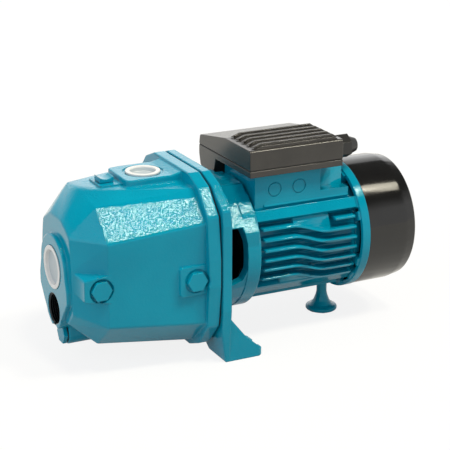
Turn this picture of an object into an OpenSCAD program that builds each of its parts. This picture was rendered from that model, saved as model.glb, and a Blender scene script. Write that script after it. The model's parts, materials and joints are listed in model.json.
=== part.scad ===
// Twin-pipe jet pump for a well: a faceted cast casing, a cast bracket with a foot,
// a finned motor with a fan cover, and a terminal box on top.
// X runs along the shaft from the suction port (-X) to the fan cover (+X), Z is up,
// and the floor is Z = 0. Sections across the shaft are drawn as (Y, height above the shaft).

/* [Shaft line] */
// Height of the shaft above the floor
shaft_h = 94.5; // [93:0.5:98]
// Radius of the shaft in the pump
shaft_pump_r = 7; // [6.5:0.1:7.5]
// Radius of the shaft in its bearings
shaft_bearing_r = 8.5; // [8.2:0.1:9]
// Radius of the shaft in the rotor
shaft_rotor_r = 10.5; // [10:0.5:12]
// Outer radius of the ball bearings
bearing_r = 20; // [19:0.5:21]
// Width of the ball bearings
bearing_w = 12; // [10:0.5:13]
// Radius of a bearing ball
ball_r = 3.3; // [3:0.1:3.5]
// Balls in each bearing
ball_n = 8; // [7:1:9]

/* [Pump casing] */
// Length from the port face to the flange joint
casing_l = 136.5; // [134:0.5:140]
// How far the port boss stands out from the casing front
boss_proud = 4.5; // [3.5:0.5:6]
// Length of the chamfers round the casing front
nose_l = 25; // [23:1:27]
// How far the flat top reaches forward of the nose corners
brow_l = 5; // [4:0.5:6]
// Wall thickness of the casting
casing_wall = 7; // [6:0.5:8]
// Half width over the sides
casing_half_w = 79; // [78:0.5:80]
// Half width over the sides, at the nose
casing_half_w_nose = 69; // [68:0.5:71]
// Flat top above the shaft
casing_top = 76.5; // [75:0.5:78]
// Half width of the flat top
top_half_w = 17; // [15:1:20]
// Half width of the top deck, at the flange
deck_half_w = 50; // [48:0.5:51]
// Upper edge of the side panels above the shaft, at the flange
shoulder_rise = 69; // [68:0.5:70]
// Half width at the upper edge of the side panels, at the flange
shoulder_half_w = 59; // [58:0.5:61]
// Upper edge of the side panels above the shaft, at the nose
shoulder_rise_nose = 66.5; // [65.5:0.5:67.5]
// Half width at the upper edge of the side panels, at the nose
shoulder_half_w_nose = 40; // [39:0.5:42]
// Lower edge of the side panels above the shaft, at the flange
panel_rise = 48.5; // [47:0.5:50]
// Lower edge of the side panels above the shaft, at the nose
panel_rise_nose = 39; // [37.5:0.5:40.5]
// Lower edge of the sides below the shaft, at the flange
side_drop = 51.5; // [50:0.5:53]
// Lower edge of the sides below the shaft, at the nose
side_drop_nose = 44; // [42:0.5:46]
// Keel below the shaft, at the flange
keel_drop = 79.5; // [78:0.5:81]
// Keel below the shaft, at the nose
keel_drop_nose = 71; // [69:0.5:72]
// Half width of the keel, at the flange
keel_half_w = 48; // [46:1:50]
// Half width of the keel, at the nose
keel_half_w_nose = 37; // [36:1:40]
// Rounding of the long casting edges
casting_edge_r = 5; // [3:0.5:7]

/* [Casing flange] */
// Thickness of the casing flange
flange_t = 12.2; // [11:0.2:14]
// Top and bottom of the flange from the shaft
flange_rise = 87.5; // [86:0.5:89]
// Half width of the flat at the flange top
flange_flat_half_w = 40; // [38:1:42]
// Half width at the upper end of the corner facet
flange_corner_half_w = 61; // [60:0.5:62]
// Height from the shaft at the upper end of the corner facet
flange_corner_rise = 79; // [78:0.5:80]
// Half width at the lower end of the corner facet
flange_side_half_w = 82.5; // [82:0.5:84]
// Height from the shaft at the lower end of the corner facet
flange_side_rise = 55; // [54:0.5:56]
// Half width at the middle of the bowed side
flange_bow_half_w = 86.5; // [85.5:0.5:88]
// Rounding of the flange corners
flange_corner_r = 7; // [5:1:9]
// Radius of the spigot that centres the casing on the bracket
spigot_r = 68; // [67:0.5:69]
// Thickness of the casing gasket
gasket_t = 2; // [1.5:0.5:2.5]
// How far the gasket stays inside the flange edge
gasket_inset = 2.5; // [2:0.5:3.5]
// Sideways place of the casing bolts
bolt_y = 60; // [59:0.5:61]
// Height of the casing bolts from the shaft
bolt_z = 61.5; // [60:0.5:62.5]
// Shank radius of the casing bolts
bolt_r = 4; // [3.5:0.1:4.2]

/* [Ports] */
// Thread radius of the suction port, 1 1/4 inch
suction_r = 19.5; // [19:0.1:20]
// Thread radius of the two 1 inch ports
outlet_r = 15.1; // [14.8:0.1:15.4]
// Height of the suction port above the lower port
port_step = 42.5; // [41:0.5:44]
// Depth of the port threads
port_depth = 24; // [22:1:26]
// Radius of the boss round the suction port
suction_boss_r = 32.5; // [31:0.5:34]
// Radius of the boss round the lower port
lower_boss_r = 20; // [19:0.5:21]
// Half width of the ears beside the ports
boss_ear_half_w = 37; // [36:0.5:38]
// Distance of the discharge port behind the port face
discharge_back = 95; // [93:0.5:97]
// Discharge pad above the casing top
pad_rise = 6.3; // [5.5:0.1:7]
// Half width of the discharge pad
pad_half_w = 25.5; // [24.5:0.5:27]
// Length of the discharge pad in front of the discharge port
pad_front = 27; // [25:0.5:28]
// How far the port caps stand out
cap_proud = 1; // [0.6:0.2:2]
// Recess round the mouth of each port beyond the thread
lead_in = 1.2; // [1:0.1:1.4]
// Depth of the recess at the mouth of each port
lead_depth = 4.5; // [4:0.1:5]
// How far the cap rims overhang the recess
cap_rim = 0.6; // [0.4:0.1:1]
// Ring width of the port caps
cap_wall = 3.5; // [3:0.1:4]
// Radius of the inner suction passage
passage_r = 18; // [17.5:0.1:18.5]
// Wall of the inner suction passage
passage_wall = 6; // [5:0.5:7]

/* [Plugs] */
// Distance of the priming plug behind the port face
priming_back = 55; // [54:0.5:57]
// Thread radius of the priming plug
priming_r = 5.2; // [5:0.1:5.4]
// Width of the square priming plug head
priming_head_w = 14; // [13.8:0.1:15]
// Height of the priming plug head
priming_head_h = 6; // [5.6:0.1:7]
// Length of the priming plug thread
priming_thread_l = 12; // [10:0.5:14]
// Low boss under the priming plug
priming_boss_h = 1.5; // [1:0.1:2]
// Width of the priming plug washer beyond the thread
priming_rim = 1.6; // [1.4:0.1:1.7]
// Width of the plug washers beyond the thread
washer_rim = 3; // [2.5:0.1:3.5]
// Thickness of the plug washers
washer_t = 1; // [0.8:0.1:1.2]
// Thread radius of the side and drain plugs
plug_r = 6.5; // [6.2:0.1:6.8]
// Half width across the flats of the hexagon plug heads
plug_head_r = 9; // [8.8:0.1:9.2]
// Height of the hexagon plug heads
plug_head_h = 4.2; // [3.5:0.1:4.6]
// Length of the plug threads
plug_thread_l = 11; // [10:0.5:12]
// Height of the front side plug below the shaft
front_plug_drop = 4.7; // [4:0.1:6]
// Distance of the front side plug behind the port face
front_plug_back = 22.5; // [21.5:0.5:24]
// Height of the rear side plug below the shaft
rear_plug_drop = 6; // [4:0.5:8]
// Distance of the rear side plug in front of the casing flange
rear_plug_front = 10.5; // [10:0.5:13]
// Half width of the side plug bosses
plug_boss_half = 14.5; // [14:0.5:16]
// Depth of the spot faces under the side plugs
spot_depth = 1.2; // [1:0.1:1.6]
// Height of the drain plug above the floor
drain_h = 24.8; // [24.4:0.1:25.2]
// Radius of the drain boss
drain_boss_r = 11; // [10.5:0.1:11.5]

/* [Hydraulics] */
// Radius of the impeller
impeller_r = 58; // [56:0.5:60]
// Thickness of the impeller over its shrouds
impeller_w = 13; // [12:0.5:14]
// Radius of the impeller eye collar
eye_r = 22; // [21.5:0.1:22.5]
// Vanes in the impeller
vane_n = 6; // [5:1:7]
// Outer radius of the diffuser
diffuser_r = 66.5; // [65.5:0.5:67]
// Guide vanes in the diffuser
guide_n = 7; // [6:1:9]
// Radius of the seal chamber
seal_chamber_r = 17; // [16.5:0.5:18]
// Depth of the seal chamber
seal_chamber_l = 16; // [15:0.5:18]
// Radius of the seal seat
seal_seat_r = 13.5; // [13:0.5:14]
// Thickness of the seal seat
seal_seat_t = 7; // [6:0.5:8]

/* [Bracket and foot] */
// Length of the bracket from the gasket to the motor
bracket_l = 51.5; // [50:0.5:54]
// Thickness of the bracket plate
plate_t = 9.2; // [8.5:0.1:10]
// How far the bracket plate stands out past the casing flange
plate_lip = 0.5; // [0:0.1:1]
// Half width across the flats of the octagonal neck
neck_r = 66; // [65:0.5:67]
// Inside radius of the neck
neck_bore_r = 54; // [53.5:0.5:54.5]
// Radius of the ring at the motor
ring_r = 67; // [66.5:0.5:68]
// Width of the ring at the motor
ring_w = 14.5; // [14:0.5:16]
// Top of the side windows above the shaft
window_rise = 32.5; // [31:0.5:34]
// Bottom of the side windows below the shaft
window_drop = 31; // [29:0.5:32]
// Half width over the feet
foot_half_w = 82; // [81.5:0.5:83]
// Length of the foot along the shaft
foot_l = 41; // [40:0.5:43]
// Distance of the foot behind the bracket face
foot_back = 5; // [4:0.5:6]
// Thickness of the foot
foot_t = 8; // [7:0.5:9]
// Width of each foot
foot_w = 37; // [36:0.5:38]
// Sideways place of the foot slots
foot_slot_y = 66; // [65.5:0.5:67]
// Radius of the foot slots
foot_slot_r = 4.5; // [4:0.1:5]
// Length of the foot slots
foot_slot_l = 15; // [14:0.5:17]
// Thickness of the foot webs
web_t = 6; // [5:0.5:7]
// Height of the foot webs on the plate
web_h = 46; // [44:1:48]

/* [Motor] */
// Length of the motor housing
housing_l = 112; // [110:1:120]
// Radius of the housing barrel
barrel_r = 55; // [54.5:0.5:56]
// Radius of the stator
stator_r = 50; // [49:0.5:50.5]
// Length of the stator stack
stator_l = 66; // [60:1:70]
// Radius over the fins
fin_r = 64.5; // [64:0.5:66]
// Thickness of a fin
fin_t = 2.6; // [2.2:0.1:3]
// Height from fin to fin
fin_pitch = 10.2; // [9.8:0.1:10.6]
// Fins on each side
fin_n = 6; // [5:1:6]
// Height of the highest fin above the shaft, at the bracket
fin_top = 25; // [24:0.5:26]
// Radius over the rails
rail_r = 66; // [65:0.5:67]
// Radius over the lower rails
low_rail_r = 62; // [61:0.5:63]
// Rotor radius
rotor_r = 27.5; // [26:0.5:28]
// Air gap between rotor and stator
air_gap = 0.4; // [0.35:0.05:0.6]
// Width of the rear ring
rear_ring_w = 11.5; // [11:0.5:13]
// Radius of the rear ring
rear_ring_r = 66.8; // [66:0.2:68]
// Radius of the tie bolts from the shaft
tie_r = 57.4; // [57.2:0.1:57.6]
// Shank radius of the tie bolts
tie_bolt_r = 2.5; // [2.4:0.1:2.8]
// Distance of the support foot in front of the rear ring
support_front = 5; // [5:0.5:8]
// Radius of the support foot pad
support_r = 16.4; // [15:0.2:18]
// Radius of the support foot stem
support_stem_r = 5.3; // [5:0.1:6]

/* [Fan and cover] */
// Length of the fan cover behind the rear ring
cover_l = 55.5; // [54:0.5:60]
// Outer radius of the fan cover
cover_r = 66.2; // [65.8:0.1:66.6]
// Wall of the fan cover
cover_wall = 2; // [1.6:0.1:2.2]
// Length of the taper at the rear of the fan cover
cover_taper_l = 14; // [12:0.5:16]
// How much the fan cover narrows over its taper
cover_taper = 2.2; // [1.8:0.1:2.6]
// Fan radius
fan_r = 50; // [48:1:52]
// Blades of the fan
fan_n = 8; // [6:1:9]
// Rings of air slots in the fan cover
slot_rings = 4; // [3:1:4]

/* [Terminal box] */
// Height of the step behind the terminal base above the shaft
base_step = 52.9; // [52:0.1:54]
// Bottom of the box above the shaft
box_rise = 77.8; // [77:0.2:79]
// Height of the box base
box_base_h = 6.4; // [6:0.2:7]
// Height of the box over base and lid
box_h = 27; // [26:0.5:28]
// Length of the box
box_l = 102.5; // [101:0.5:106]
// Distance of the box in front of the motor housing
box_front = 7; // [6:0.5:8]
// Near side of the box from the shaft
box_near = 55; // [54:0.5:56]
// Far side of the box from the shaft
box_far = 59; // [58:0.5:60]
// Drop of the lid top towards the far side
lid_drop = 10; // [9:0.5:11]
// Wall of the box
box_wall = 2.5; // [2:0.1:3]
// Depth of the capacitor trough below the box bottom
trough_h = 19.8; // [19:0.2:21]
// Inner side of the capacitor trough from the shaft
trough_in = 24; // [23:0.5:25]
// Capacitor radius
capacitor_r = 12.5; // [11:0.5:12.5]
// Ribs on the lid
rib_n = 5; // [4:1:5]
// Distance from rib to rib
rib_pitch = 11; // [10:0.5:11]
// Height of the ribs
rib_h = 2; // [1.5:0.1:2.5]
// Sideways place of the cable gland
gland_y = -20; // [-22:0.5:-18]
// Cable bore of the gland
gland_bore_r = 5; // [4.5:0.1:5.5]
// Thread radius of the gland
gland_r = 8; // [7.8:0.1:8.4]
// Length of the gland outside the box
gland_l = 34; // [32:0.5:36]

/* [Clearances] */
// Gap between pieces that move past each other
run_gap = 0.4; // [0.35:0.05:0.6]
// Radial gap of a plugged or pressed-in piece
fit_gap = 0.05; // [0.03:0.01:0.1]

/* [Hidden] */
$fn = 64;

pump_blue = [0.0, 0.53, 0.66];
box_grey = [0.27, 0.26, 0.25];
cover_black = [0.13, 0.13, 0.13];
cap_white = [0.93, 0.93, 0.92];
steel = [0.72, 0.73, 0.74];
rubber_black = [0.1, 0.1, 0.1];
// Overlap of shapes that are cut or joined
lap = 1;

// Stations along the shaft
overall_l = cap_proud + casing_l + gasket_t + bracket_l + housing_l + rear_ring_w + cover_l;
x_port = cap_proud - overall_l / 2;
x_face = x_port + boss_proud;
x_nose = x_face + nose_l;
x_joint = x_port + casing_l;
x_flange = x_joint - flange_t;
x_bracket = x_joint + gasket_t;
x_plate = x_bracket + plate_t;
x_motor = x_bracket + bracket_l;
x_shield = x_motor + housing_l;
x_cover = x_shield + rear_ring_w;
x_rear = x_cover + cover_l;
x_discharge = x_port + discharge_back;
x_priming = x_port + priming_back;
x_front_plug = x_port + front_plug_back;
x_rear_plug = x_flange - rear_plug_front;
x_support = x_shield - support_front;

// Heights from the shaft
suction_h = 0;
lower_h = suction_h - port_step;
pad_h = casing_top + pad_rise;
spot_r = plug_head_r / cos(30) + 1.4;
cap_floor = 1.5;
cap_depth = lead_depth - 0.5;
outlet_cap_r = outlet_r + lead_in + cap_rim;
pad_spot_r = outlet_cap_r + 3;
pad_spot_h = pad_h - 1;
rear_plug_y = casing_half_w + 1.5;
front_plug_y = casing_half_w_nose + 0.4;
front_seat_y = casing_half_w_nose - 3;
front_boss_depth = 36;
front_boss_l = 17;
rear_seat_y = rear_plug_y - spot_depth;
x_drain = x_face + 6.5;
port_wall = 5;
plug_bore_l = 35;
drain_bore_l = 19;
drain_boss_l = 30;
drain_boss_h = 20;
drain_room = max(plug_head_r / cos(30), plug_r + washer_rim) + run_gap;
priming_sink = 0.9;
priming_boss_front = 10;
priming_boss_half = 15;
pad_corner_r = 5;
plate_half_w = flange_bow_half_w + plate_lip;

// Pump end of the shaft
impeller_back = 3.5;
x_impeller = x_bracket - impeller_back - impeller_w;
shroud_t = 2.2;
eye_l = 8;
eye_wall = 2.5;
vane_t = 2.4;
key_w = 3;
key_h = 4;
x_diffuser = x_impeller - 5;
diffuser_t = 3;
x_nose_tube = x_diffuser - 14;
x_tube_end = x_diffuser - 8;
nose_r = passage_r + passage_wall / 2;
spigot_l = 3;
nut_l = 8;
nut_r = 8;
x_seat = x_bracket + seal_chamber_l;
hub_r = seal_chamber_r + 6;
x_hub_end = x_seat + seal_seat_t + 3;

// Motor end of the shaft
bearing_lip = 2;
x_front_bearing = x_motor - bearing_lip - bearing_w;
x_rear_bearing = x_shield - 7;
bearing_hub_r = bearing_r + 6;
bearing_hub_back = 2;
wave_t = 1;
shield_t = 6;
tie_head_r = 3.6;
support_seat = support_stem_r + 4;
support_pin_r = support_stem_r - 2;
rail_back = 0.4;
fin_steps = 18;
hoop_w = 9;
hoop_t = 4.6;
hoop_step = 5;
x_stator = x_motor + (housing_l - stator_l) / 2;
winding_l = 15;
ring_land_w = 2.6;
pitch_r = (bearing_r + shaft_bearing_r) / 2;
x_fan = x_cover + 9;
fan_hub_r = 13;
fan_hub_l = 20;
fan_bore_r = 7;
x_shaft_end = x_fan + fan_hub_l + 5;

// Terminal box
x_box = x_motor - box_front;
x_box_end = x_box + box_l;
gasket_strip = 0.8;
parting_h = box_rise + box_base_h;
lid_top_h = box_rise + box_h;
gland_h = box_rise + 9;
gland_tab_half = 14;
gland_in = 5;
gland_hex_l = 6;
gland_hex_r = gland_r + 2.6;
gland_thread_l = 12;
gland_seal_l = 3.8;
box_screw_r = 2;
box_screw_l = 10;

// Corner arc of radius r between the lines a-b and b-c, as n + 1 points
function unit(v) = v / norm(v);
function short_turn(d) = d > 180 ? d - 360 : d < -180 ? d + 360 : d;
function corner_arc(a, b, c, r, n) = let(
        u = unit(a - b),
        w = unit(c - b),
        half = acos(u * w) / 2,
        o = b + unit(u + w) * r / sin(half),
        s = b + u * r / tan(half) - o,
        e = b + w * r / tan(half) - o,
        first = atan2(s[1], s[0]),
        turn = short_turn(atan2(e[1], e[0]) - first))
    [for (i = [0:n]) o + r * [cos(first + turn * i / n), sin(first + turn * i / n)]];
// Closed outline with every corner rounded to r; a list gives one radius per corner, 0 for sharp
function rounded(pts, r, n = 4) = let(last = len(pts) - 1) [
    for (i = [0:last]) let(q = is_list(r) ? r[i] : r)
        each q == 0 ? [pts[i]]
            : corner_arc(pts[i == 0 ? last : i - 1], pts[i], pts[i == last ? 0 : i + 1], q, n)];
// Full outline from its right half, listed from the top down
function both_sides(half) = concat(half, [for (i = [len(half) - 1:-1:0]) [-half[i][0], half[i][1]]]);

// A section (Y, height above the shaft) drawn out along X
module across(x, l) {
    translate([x, 0, shaft_h]) rotate([90, 0, 90]) linear_extrude(l) children();
}
// A side outline (X, height above the shaft) drawn out from y0 to y1
module sideways(y0, y1) {
    translate([0, y1, shaft_h]) rotate([90, 0, 0]) linear_extrude(y1 - y0) children();
}
// A cylinder along X at (y, h) from the shaft
module xcyl(x, l, r, y = 0, h = 0) {
    translate([x, y, shaft_h + h]) rotate([0, 90, 0]) cylinder(h = l, r = r);
}
module xtube(x, l, ro, ri) {
    difference() {
        xcyl(x, l, ro);
        xcyl(x - lap, l + 2 * lap, ri);
    }
}
// A profile (radius, X) turned about the shaft
module turned(x) {
    translate([x, 0, shaft_h]) rotate([0, 90, 0]) rotate_extrude() children();
}
// A bar along X at an angle round the shaft, between two radii
module rail(x, l, angle, r0, r1, w) {
    translate([x, 0, shaft_h]) rotate([angle, 0, 0]) translate([0, r0, -w / 2]) cube([l, r1 - r0, w]);
}
module both_y() {
    children();
    mirror([0, 1, 0]) children();
}
// Hexagon prism with a half width across flats of r
module hexagon(h, r) {
    cylinder(h = h, r = r / cos(30), $fn = 6);
}
module at_casing_bolts() {
    for (y = [-bolt_y, bolt_y], h = [-bolt_z, bolt_z]) translate([0, y, h]) children();
}
module at_tie_bolts() {
    for (angle = tie_angles) rotate([angle, 0, 0]) translate([0, tie_r, 0]) children();
}
rail_angle = 35.5;
low_rail_angle = -42;
tie_angles = [rail_angle, low_rail_angle, 180 - rail_angle, 180 - low_rail_angle];

// Pump casing
nose_half = [
    [top_half_w, casing_top], [shoulder_half_w_nose, shoulder_rise_nose],
    [casing_half_w_nose, panel_rise_nose], [casing_half_w_nose, -side_drop_nose],
    [keel_half_w_nose, -keel_drop_nose]];
deck_drop = 1;
rear_half = [
    [top_half_w, casing_top], [deck_half_w, casing_top - deck_drop], [shoulder_half_w, shoulder_rise],
    [casing_half_w, panel_rise], [casing_half_w, -side_drop], [keel_half_w, -keel_drop]];
brow_half = [[top_half_w - 0.5, casing_top], [top_half_w - 0.5, casing_top - casting_edge_r]];
face_half = [
    [15, casing_top - 26.5], [35, casing_top - 38], [40, 8], [40, -36], [27, -50]];
flange_half = [
    [flange_flat_half_w, flange_rise], [flange_corner_half_w, flange_corner_rise],
    [flange_side_half_w, flange_side_rise], [flange_bow_half_w, flange_side_rise / 4],
    [flange_bow_half_w, -flange_side_rise / 4], [flange_side_half_w, -flange_side_rise],
    [flange_corner_half_w, -flange_corner_rise], [flange_flat_half_w, -flange_rise]];
function shrunk(half, d) = [for (q = half) q - d * unit(q)];

// Corner radii of the casing sections, listed from the top down one side and up the other
top_edge_r = 20;
function section_r(half) = let(last = 2 * len(half) - 1)
    [for (i = [0:last]) i == 0 || i == last ? top_edge_r : casting_edge_r];
module casing_section(half, inset) {
    if (inset > 0)
        offset(delta = -inset) polygon(both_sides(half));
    else
        polygon(rounded(both_sides(half), section_r(half)));
}
// The faceted body from the nose chamfers to the flange, made smaller all round by inset
module casing_body(inset, x_end) {
    thin = 0.5;
    rear = 3;
    hull() {
        across(x_face + inset, thin) casing_section(face_half, inset);
        across(x_nose + inset / 2, thin)
            casing_section(nose_half, inset);
        if (inset == 0)
            across(x_nose - brow_l, thin) polygon(both_sides(brow_half));
        across(x_end - rear, rear)
            casing_section(rear_half, inset);
    }
}
module port_boss() {
    across(x_port, boss_proud + lap) {
        translate([0, suction_h]) circle(suction_boss_r);
        translate([0, lower_h]) circle(lower_boss_r);
        polygon(rounded(both_sides([[suction_boss_r, suction_h], [boss_ear_half_w, -15],
            [boss_ear_half_w, -27], [lower_boss_r - 1, lower_h - 6]]), [0, 8, 8, 0, 0, 8, 8, 0]));
    }
}
module discharge_pad() {
    x_pad = x_discharge - pad_front;
    translate([0, 0, shaft_h + casing_top - casing_wall])
        linear_extrude(pad_rise + casing_wall)
            polygon(rounded([[x_pad, -pad_half_w], [x_flange + lap, -pad_half_w],
                [x_flange + lap, pad_half_w], [x_pad, pad_half_w]], [pad_corner_r, 0, 0, pad_corner_r]));
    // Ramp from the pad up to the flange
    sideways(-pad_half_w, pad_half_w)
        polygon([[x_discharge + outlet_cap_r + 3, pad_h - lap], [x_discharge + outlet_cap_r + 3, pad_h],
            [x_flange + lap, flange_rise - 2], [x_flange + lap, pad_h - lap]]);
}
module side_plug_bosses() {
    sideways(-rear_plug_y, -casing_half_w + casing_wall)
        polygon(rounded([[x_flange + lap, plug_boss_half - rear_plug_drop + 1],
            [x_rear_plug - plug_boss_half - 2, plug_boss_half - rear_plug_drop],
            [x_rear_plug - plug_boss_half - 2, -plug_boss_half - rear_plug_drop],
            [x_flange + lap, -plug_boss_half - rear_plug_drop]], [0, 3, 3, 0]));
    x_merge = x_nose + 8;
    sideways(-front_plug_y, front_boss_depth - casing_half_w_nose)
        polygon(rounded([[x_merge, plug_boss_half - front_plug_drop + 1],
            [x_front_plug - front_boss_l, plug_boss_half - front_plug_drop - 3],
            [x_front_plug - front_boss_l, -front_plug_drop - 9],
            [x_merge, -plug_boss_half - front_plug_drop]], [0, 2, 2, 0]));
}
module drain_boss() {
    xcyl(x_drain, drain_boss_l, drain_boss_r, 0, drain_h - shaft_h);
    translate([x_drain, -drain_boss_r, drain_h]) cube([drain_boss_l, 2 * drain_boss_r, drain_boss_h]);
}
module priming_boss() {
    x_front = x_priming - priming_boss_front;
    x_back = x_discharge - pad_front + pad_corner_r;
    translate([0, 0, shaft_h + casing_top - casing_wall])
        linear_extrude(casing_wall + priming_boss_h)
            polygon(rounded([[x_front, -priming_boss_half], [x_back, -priming_boss_half],
                [x_back, priming_boss_half], [x_front, priming_boss_half]], [2, 0, 0, 2]));
}
module pump_casing() {
    color(pump_blue) difference() {
        union() {
            difference() {
                union() {
                    casing_body(0, x_flange + lap);
                    across(x_flange, flange_t) polygon(rounded(both_sides(flange_half), flange_corner_r));
                    port_boss();
                    discharge_pad();
                    side_plug_bosses();
                    drain_boss();
                    priming_boss();
                }
                casing_body(casing_wall, x_flange);
                xcyl(x_flange - lap / 2, flange_t + 2 * lap, spigot_r);
            }
            // Suction passage to the diffuser, and the inner ends of the two outlet threads
            xcyl(x_face + lap, x_tube_end - x_face - lap, passage_r + passage_wall);
            xcyl(x_face + lap, port_depth - boss_proud - lap, outlet_r + port_wall, 0, lower_h);
            translate([x_discharge, 0, shaft_h + pad_spot_h - port_depth])
                cylinder(h = port_depth - 3, r = outlet_r + port_wall);
        }
        xcyl(x_port - lap, x_tube_end - x_port + 2 * lap, passage_r);
        xcyl(x_port - lap, port_depth + lap, suction_r);
        xcyl(x_port - lap, lead_depth + lap, suction_r + lead_in);
        xcyl(x_nose_tube - 0.5, x_tube_end - x_nose_tube + lap, nose_r + fit_gap);
        xcyl(x_port - lap, port_depth + 2 * lap, outlet_r, 0, lower_h);
        translate([x_discharge, 0, shaft_h + pad_spot_h]) {
            translate([0, 0, -port_depth - lap]) cylinder(h = port_depth + 2 * lap, r = outlet_r);
            translate([0, 0, -lead_depth]) cylinder(h = lead_depth + lap, r = outlet_r + lead_in);
            cylinder(h = pad_rise, r = pad_spot_r);
        }
        translate([x_priming, 0, shaft_h + casing_top - 2 * casing_wall])
            cylinder(h = 3 * casing_wall, r = priming_r + fit_gap);
        translate([x_priming, 0, shaft_h + casing_top + priming_boss_h - priming_sink])
            cylinder(h = casing_wall, r = priming_r + priming_rim + fit_gap);
        at_side_plugs() {
            translate([0, 0, -plug_bore_l]) cylinder(h = plug_bore_l + lap, r = plug_r + fit_gap);
            cylinder(h = 2 * plug_head_h, r = spot_r);
        }
        // Room for the head of the drain plug under the lower port
        translate([x_port - lap, -drain_room, 0])
            cube([x_drain - x_port + lap, 2 * drain_room, drain_h]);
        xcyl(x_port - lap, x_drain - x_port + lap, drain_room, 0, drain_h - shaft_h);
        // Drain thread and the slot that lets it reach the inside
        xcyl(x_drain - lap, drain_bore_l + lap, plug_r + fit_gap, 0, drain_h - shaft_h);
        translate([x_drain + plug_thread_l + lap, -plug_r, drain_h - plug_r + lap])
            cube([drain_bore_l - plug_thread_l, 2 * plug_r, 4 * plug_r]);
        translate([x_flange + lap, 0, shaft_h]) at_casing_bolts()
            rotate([0, 90, 0]) cylinder(h = flange_t, r = bolt_r + fit_gap);
    }
}

// Port caps and plugs
// A cup (radius, depth) that plugs into the recess at a port's mouth
module cap_profile(thread_r, proud) {
    r = thread_r + lead_in;
    polygon([[0, cap_depth - cap_floor], [r - cap_wall - 1, cap_depth - cap_floor], [r - cap_wall, -proud],
        [r + cap_rim, -proud], [r + cap_rim, 0], [r - fit_gap, 0], [r - fit_gap, cap_depth], [0, cap_depth]]);
}
module suction_cap() {
    color(cap_white) turned(x_port) cap_profile(suction_r, cap_proud);
}
module discharge_cap() {
    color(cap_white) translate([x_discharge, 0, shaft_h + pad_spot_h]) mirror([0, 0, 1]) rotate_extrude()
        cap_profile(outlet_r, 2 * cap_proud);
}
module priming_plug() {
    z_seat = shaft_h + casing_top + priming_boss_h - priming_sink + washer_t;
    hollow_r = 13;
    hollow_h = 2.5;
    color(pump_blue) translate([x_priming, 0, z_seat]) {
        translate([0, 0, -priming_thread_l]) cylinder(h = priming_thread_l + lap, r = priming_r - fit_gap);
        difference() {
            translate([-priming_head_w / 2, -priming_head_w / 2, 0])
                cube([priming_head_w, priming_head_w, priming_head_h]);
            // Hollow across the top of the head
            translate([0, priming_head_w, priming_head_h + hollow_r - hollow_h]) rotate([90, 0, 0])
                cylinder(h = 2 * priming_head_w, r = hollow_r);
        }
    }
}
module flat_washer(ro, ri) {
    difference() {
        cylinder(h = washer_t, r = ro);
        translate([0, 0, -lap]) cylinder(h = washer_t + 2 * lap, r = ri);
    }
}
module priming_washer() {
    color(rubber_black) translate([x_priming, 0, shaft_h + casing_top + priming_boss_h - priming_sink])
        flat_washer(priming_r + priming_rim, priming_r + fit_gap);
}
module hex_plug() {
    translate([0, 0, -plug_thread_l]) cylinder(h = plug_thread_l + lap, r = plug_r - fit_gap);
    translate([0, 0, washer_t]) hexagon(plug_head_h, plug_head_r);
}
module at_side_plugs() {
    translate([x_front_plug, -front_seat_y, shaft_h - front_plug_drop]) rotate([90, 0, 0]) children();
    translate([x_rear_plug, -rear_seat_y, shaft_h - rear_plug_drop]) rotate([90, 0, 0]) children();
}
module side_plugs() {
    color(pump_blue) at_side_plugs() hex_plug();
}
module side_plug_washers() {
    color(steel) at_side_plugs() flat_washer(plug_r + washer_rim, plug_r + fit_gap);
}
module drain_plug() {
    color(pump_blue) translate([x_drain, 0, drain_h]) rotate([0, -90, 0]) rotate(30) hex_plug();
}
module drain_washer() {
    color(rubber_black) translate([x_drain, 0, drain_h]) rotate([0, -90, 0])
        flat_washer(plug_r + washer_rim, plug_r + fit_gap);
}

// Hydraulics and shaft seal
// Backward-swept vane outline from r0 to r1, turned through sweep
function swept(r0, r1, sweep, t) = let(
        n = 6,
        at = function (i, s) let(r = r0 + (r1 - r0) * i / n, a = sweep * i / n)
            [r * cos(a) - s * t / 2 * sin(a), r * sin(a) + s * t / 2 * cos(a)])
    concat([for (i = [0:n]) at(i, -1)], [for (i = [n:-1:0]) at(i, 1)]);
module vanes(n, r0, r1, sweep, t) {
    for (i = [0:n - 1]) rotate(360 * i / n) polygon(swept(r0, r1, sweep, t));
}
module diffuser() {
    color("ivory") difference() {
        union() {
            xcyl(x_diffuser, diffuser_t, diffuser_r);
            xtube(x_diffuser, x_bracket - spigot_l - x_diffuser, diffuser_r, diffuser_r - 2.5);
            xcyl(x_nose_tube, x_diffuser - x_nose_tube + lap, nose_r);
            xcyl(x_tube_end + 2 * fit_gap, x_diffuser - x_tube_end, eye_r + 4);
            across(x_diffuser + diffuser_t - lap / 2, impeller_w - 2)
                vanes(guide_n, impeller_r + 2, diffuser_r - 1, 16, vane_t);
        }
        xcyl(x_nose_tube - lap, x_diffuser - x_nose_tube + diffuser_t + 2 * lap, passage_r);
        xcyl(x_impeller - eye_l - run_gap, 2 * eye_l, eye_r + run_gap);
    }
}
module impeller() {
    color("burlywood") difference() {
        union() {
            xcyl(x_impeller + impeller_w - shroud_t, shroud_t, impeller_r);
            xtube(x_impeller, shroud_t, impeller_r, eye_r - eye_wall);
            xtube(x_impeller - eye_l + run_gap + 3, eye_l - run_gap - 2, eye_r, eye_r - eye_wall);
            xcyl(x_impeller, impeller_w, shaft_pump_r + 5);
            across(x_impeller + shroud_t / 2, impeller_w - shroud_t)
                vanes(vane_n, shaft_pump_r + 7, impeller_r - 0.5, 70, vane_t);
        }
        xcyl(x_impeller - eye_l, impeller_w + 2 * eye_l, shaft_pump_r + fit_gap);
        translate([x_impeller - lap, -key_w / 2, shaft_h])
            cube([impeller_w + 2 * lap, key_w, shaft_pump_r + key_h / 2]);
    }
}
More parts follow.
